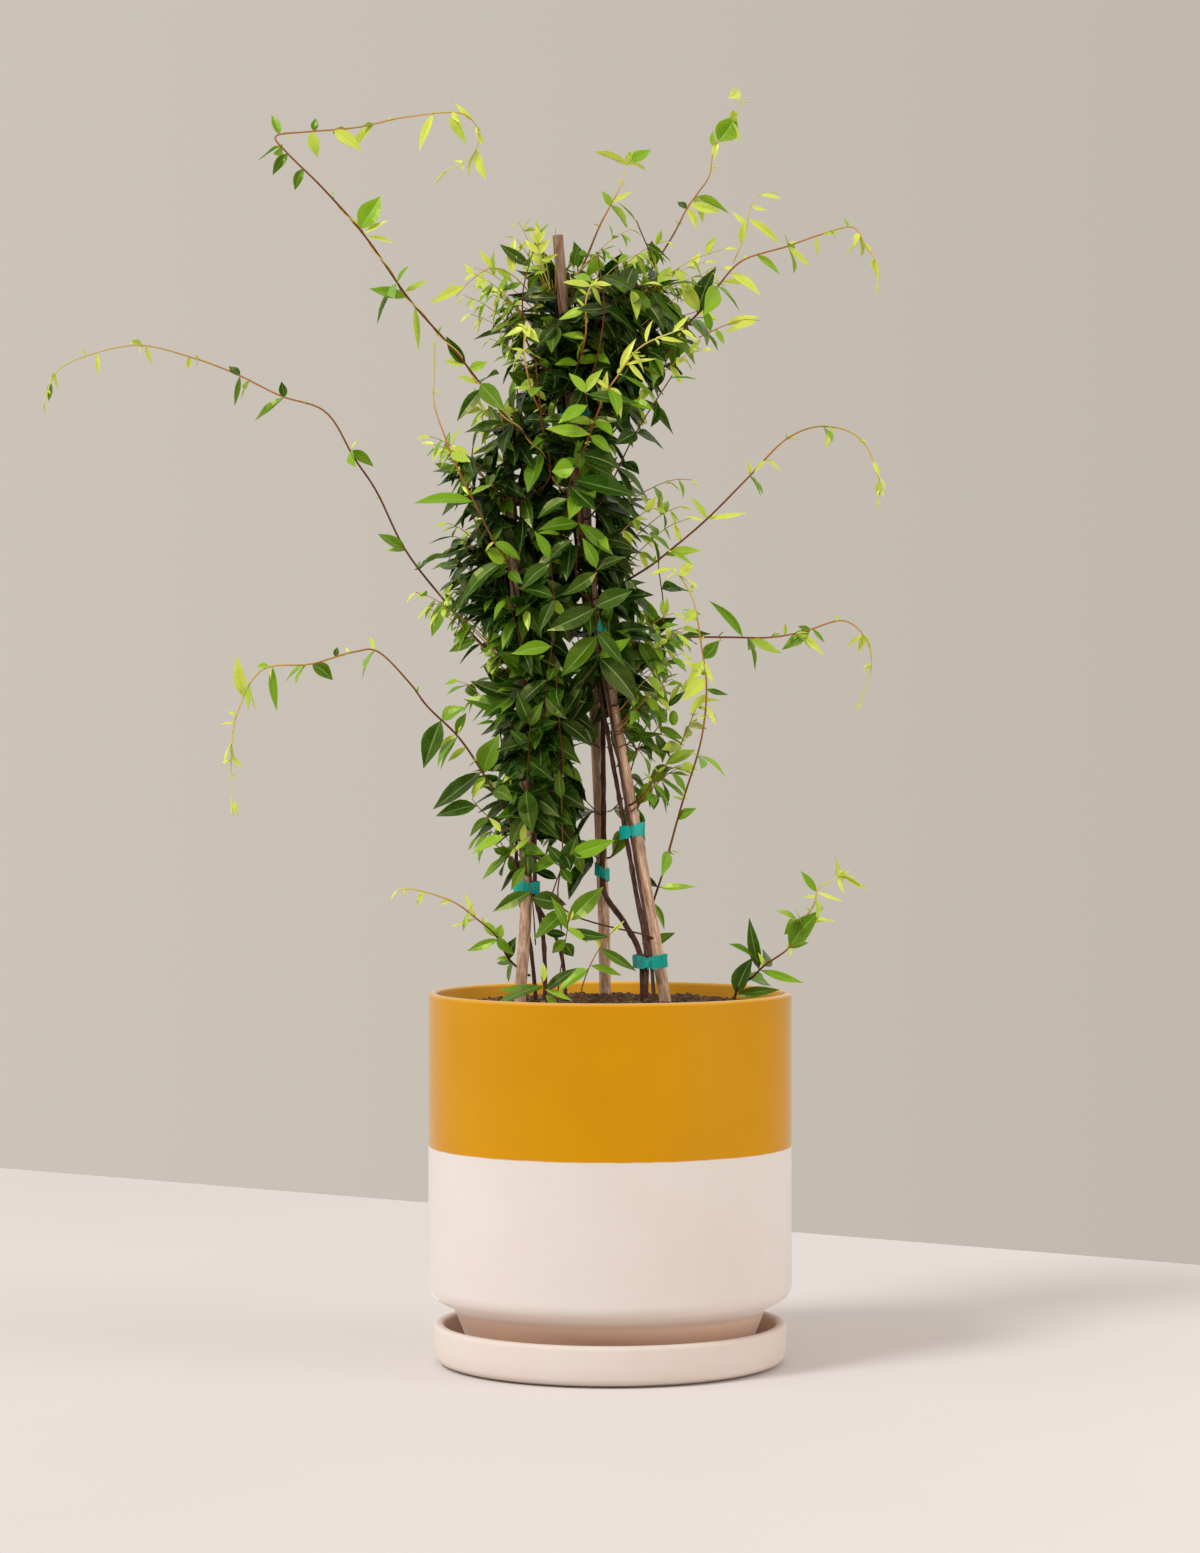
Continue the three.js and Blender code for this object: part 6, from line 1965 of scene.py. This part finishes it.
class JASMINE_OT_stage(bpy.types.Operator):
    """Sets up the pale floor, the soft light and the camera"""

    bl_idname = "jasmine.stage"
    bl_label = "Stage"

    CAMERA_PLACE = (0, -3.473, 0.531)
    FRAME_WIDTH = 1200
    FRAME_HEIGHT = 1553
    FOCAL_PIXELS = 4133
    AXIS_PIXEL = 610
    HORIZON_PIXEL = 730
    SENSOR = 24
    FLOOR_CORNERS = [(-3.2, -3.4, 0), (3.2, -3.4, 0), (-3.2, 3.223, 0), (3.2, -1.162, 0)]
    SUN_TURN = (math.radians(28), math.radians(-36), 0)
    SUN_WIDTH = math.radians(16)
    SUN_COLOUR = (0.96, 1, 1.04)
    SIDES = {"soft_right": (2.2, -0.9, 1, 18), "soft_left": (-2.3, -0.5, 1, 10)}
    SIDE_SIZE = 1.6
    SIDE_AIM_Z = 0.35
    ROOM_COLOUR = (1, 0.945, 0.88, 1)
    ROOM_LIGHT = 0.65
    ROOM_GLOSS = (0.1, 1.4)
    # The wall's two tones are painted light: paler on the left, where the light comes from.
    WALL_LEFT, WALL_RIGHT = "#ccc4b9", "#c0b8ad"
    WALL_REACH = 0.15

    def execute(self, context):
        scene = context.scene
        deselect()
        bpy.ops.mesh.primitive_plane_add(size=1)
        floor = context.object
        set_points(floor.data, np.array(self.FLOOR_CORNERS))
        floor.name = "floor"
        floor.data.materials.append(made(floor_finish))
        deselect()

        bpy.ops.object.light_add(type="SUN", rotation=self.SUN_TURN)
        sun = context.object
        sun.name = "soft_key"
        sun.data.energy = scene.jasmine.sun
        sun.data.color = self.SUN_COLOUR
        sun.data.angle = self.SUN_WIDTH
        for name, (x, y, z, power) in self.SIDES.items():
            bpy.ops.object.light_add(type="AREA", location=(x, y, z))
            side = context.object
            side.name = name
            side.data.size = self.SIDE_SIZE
            side.data.energy = power
            aim = Vector((-x, -y, self.SIDE_AIM_Z - z))
            side.rotation_euler = aim.to_track_quat("-Z", "Y").to_euler()
        scene.world = self.room()
        scene.view_settings.view_transform = "Standard"

        bpy.ops.object.camera_add(location=self.CAMERA_PLACE, rotation=(math.pi / 2, 0, 0))
        camera = context.object
        camera.data.sensor_fit = "VERTICAL"
        camera.data.sensor_height = self.SENSOR
        camera.data.lens = self.FOCAL_PIXELS / self.FRAME_HEIGHT * self.SENSOR
        camera.data.shift_x = (self.FRAME_WIDTH / 2 - self.AXIS_PIXEL) / self.FRAME_HEIGHT
        camera.data.shift_y = (self.HORIZON_PIXEL - self.FRAME_HEIGHT / 2) / self.FRAME_HEIGHT
        scene.camera = camera
        return {"FINISHED"}

    def room(self):
        """A plain room: a warm grey wall far behind, with painted light making it paler to the left, and soft
        even light.
        """
        world = bpy.data.worlds.new("room")
        world.use_nodes = True
        light = world.node_tree.nodes["Background"]
        light.inputs["Color"].default_value = self.ROOM_COLOUR
        light.inputs["Strength"].default_value = self.ROOM_LIGHT

        room = Nodes(world.node_tree)
        seen = room.node("ShaderNodeLightPath").outputs
        way = room.node("ShaderNodeTexCoord").outputs["Generated"]
        split = room.node("ShaderNodeSeparateXYZ", {0: way}).outputs
        reach = {"Value": split["X"], "From Min": -self.WALL_REACH, "From Max": self.WALL_REACH}
        tones = {
            0: room.node("ShaderNodeMapRange", reach).outputs["Result"],
            6: paint(self.WALL_LEFT),
            7: paint(self.WALL_RIGHT),
        }
        tone = room.node("ShaderNodeMix", tones, data_type="RGBA").outputs[2]
        wall = room.node("ShaderNodeBackground", {"Color": tone})
        low, high = self.ROOM_GLOSS
        overhead = room.node("ShaderNodeMapRange", {"Value": split["Z"], "To Min": low, "To Max": high})
        gloss = room.node("ShaderNodeBackground", {"Strength": overhead.outputs["Result"]})
        lit = room.node(
            "ShaderNodeMixShader", {0: seen["Is Glossy Ray"], 1: light.outputs[0], 2: gloss.outputs[0]})
        mixed = room.node(
            "ShaderNodeMixShader", {0: seen["Is Camera Ray"], 1: lit.outputs[0], 2: wall.outputs[0]})
        room.feed(world.node_tree.nodes["World Output"].inputs["Surface"], mixed.outputs[0])
        return world


OPERATORS = [
    JASMINE_OT_pot, JASMINE_OT_saucer, JASMINE_OT_soil, JASMINE_OT_canes, JASMINE_OT_trunks,
    JASMINE_OT_ties, JASMINE_OT_shoots, JASMINE_OT_sprays, JASMINE_OT_twigs, JASMINE_OT_stage,
]


class JASMINE_PT_panel(bpy.types.Panel):
    """Lists the plant's settings and pieces"""

    bl_idname = "JASMINE_PT_panel"
    bl_label = "Jasmine"
    bl_space_type = "VIEW_3D"
    bl_region_type = "UI"
    bl_category = "Jasmine"

    def draw(self, context):
        settings = context.scene.jasmine
        for name in JasmineSettings.__annotations__:
            self.layout.prop(settings, name)
        for operator in OPERATORS:
            self.layout.operator(operator.bl_idname)


def register():
    """Registers the classes and the scene's settings."""
    for kind in [JasmineSettings, *OPERATORS, JASMINE_PT_panel]:
        bpy.utils.register_class(kind)
    bpy.types.Scene.jasmine = bpy.props.PointerProperty(type=JasmineSettings)


def unregister():
    """Removes the settings and the classes."""
    del bpy.types.Scene.jasmine
    for kind in reversed([JasmineSettings, *OPERATORS, JASMINE_PT_panel]):
        bpy.utils.unregister_class(kind)


def main():
    """Registers the classes and makes every piece."""
    register()
    deselect()
    for operator in OPERATORS:
        getattr(bpy.ops.jasmine, operator.bl_idname.split(".")[1])()


if __name__ == "__main__":
    main()
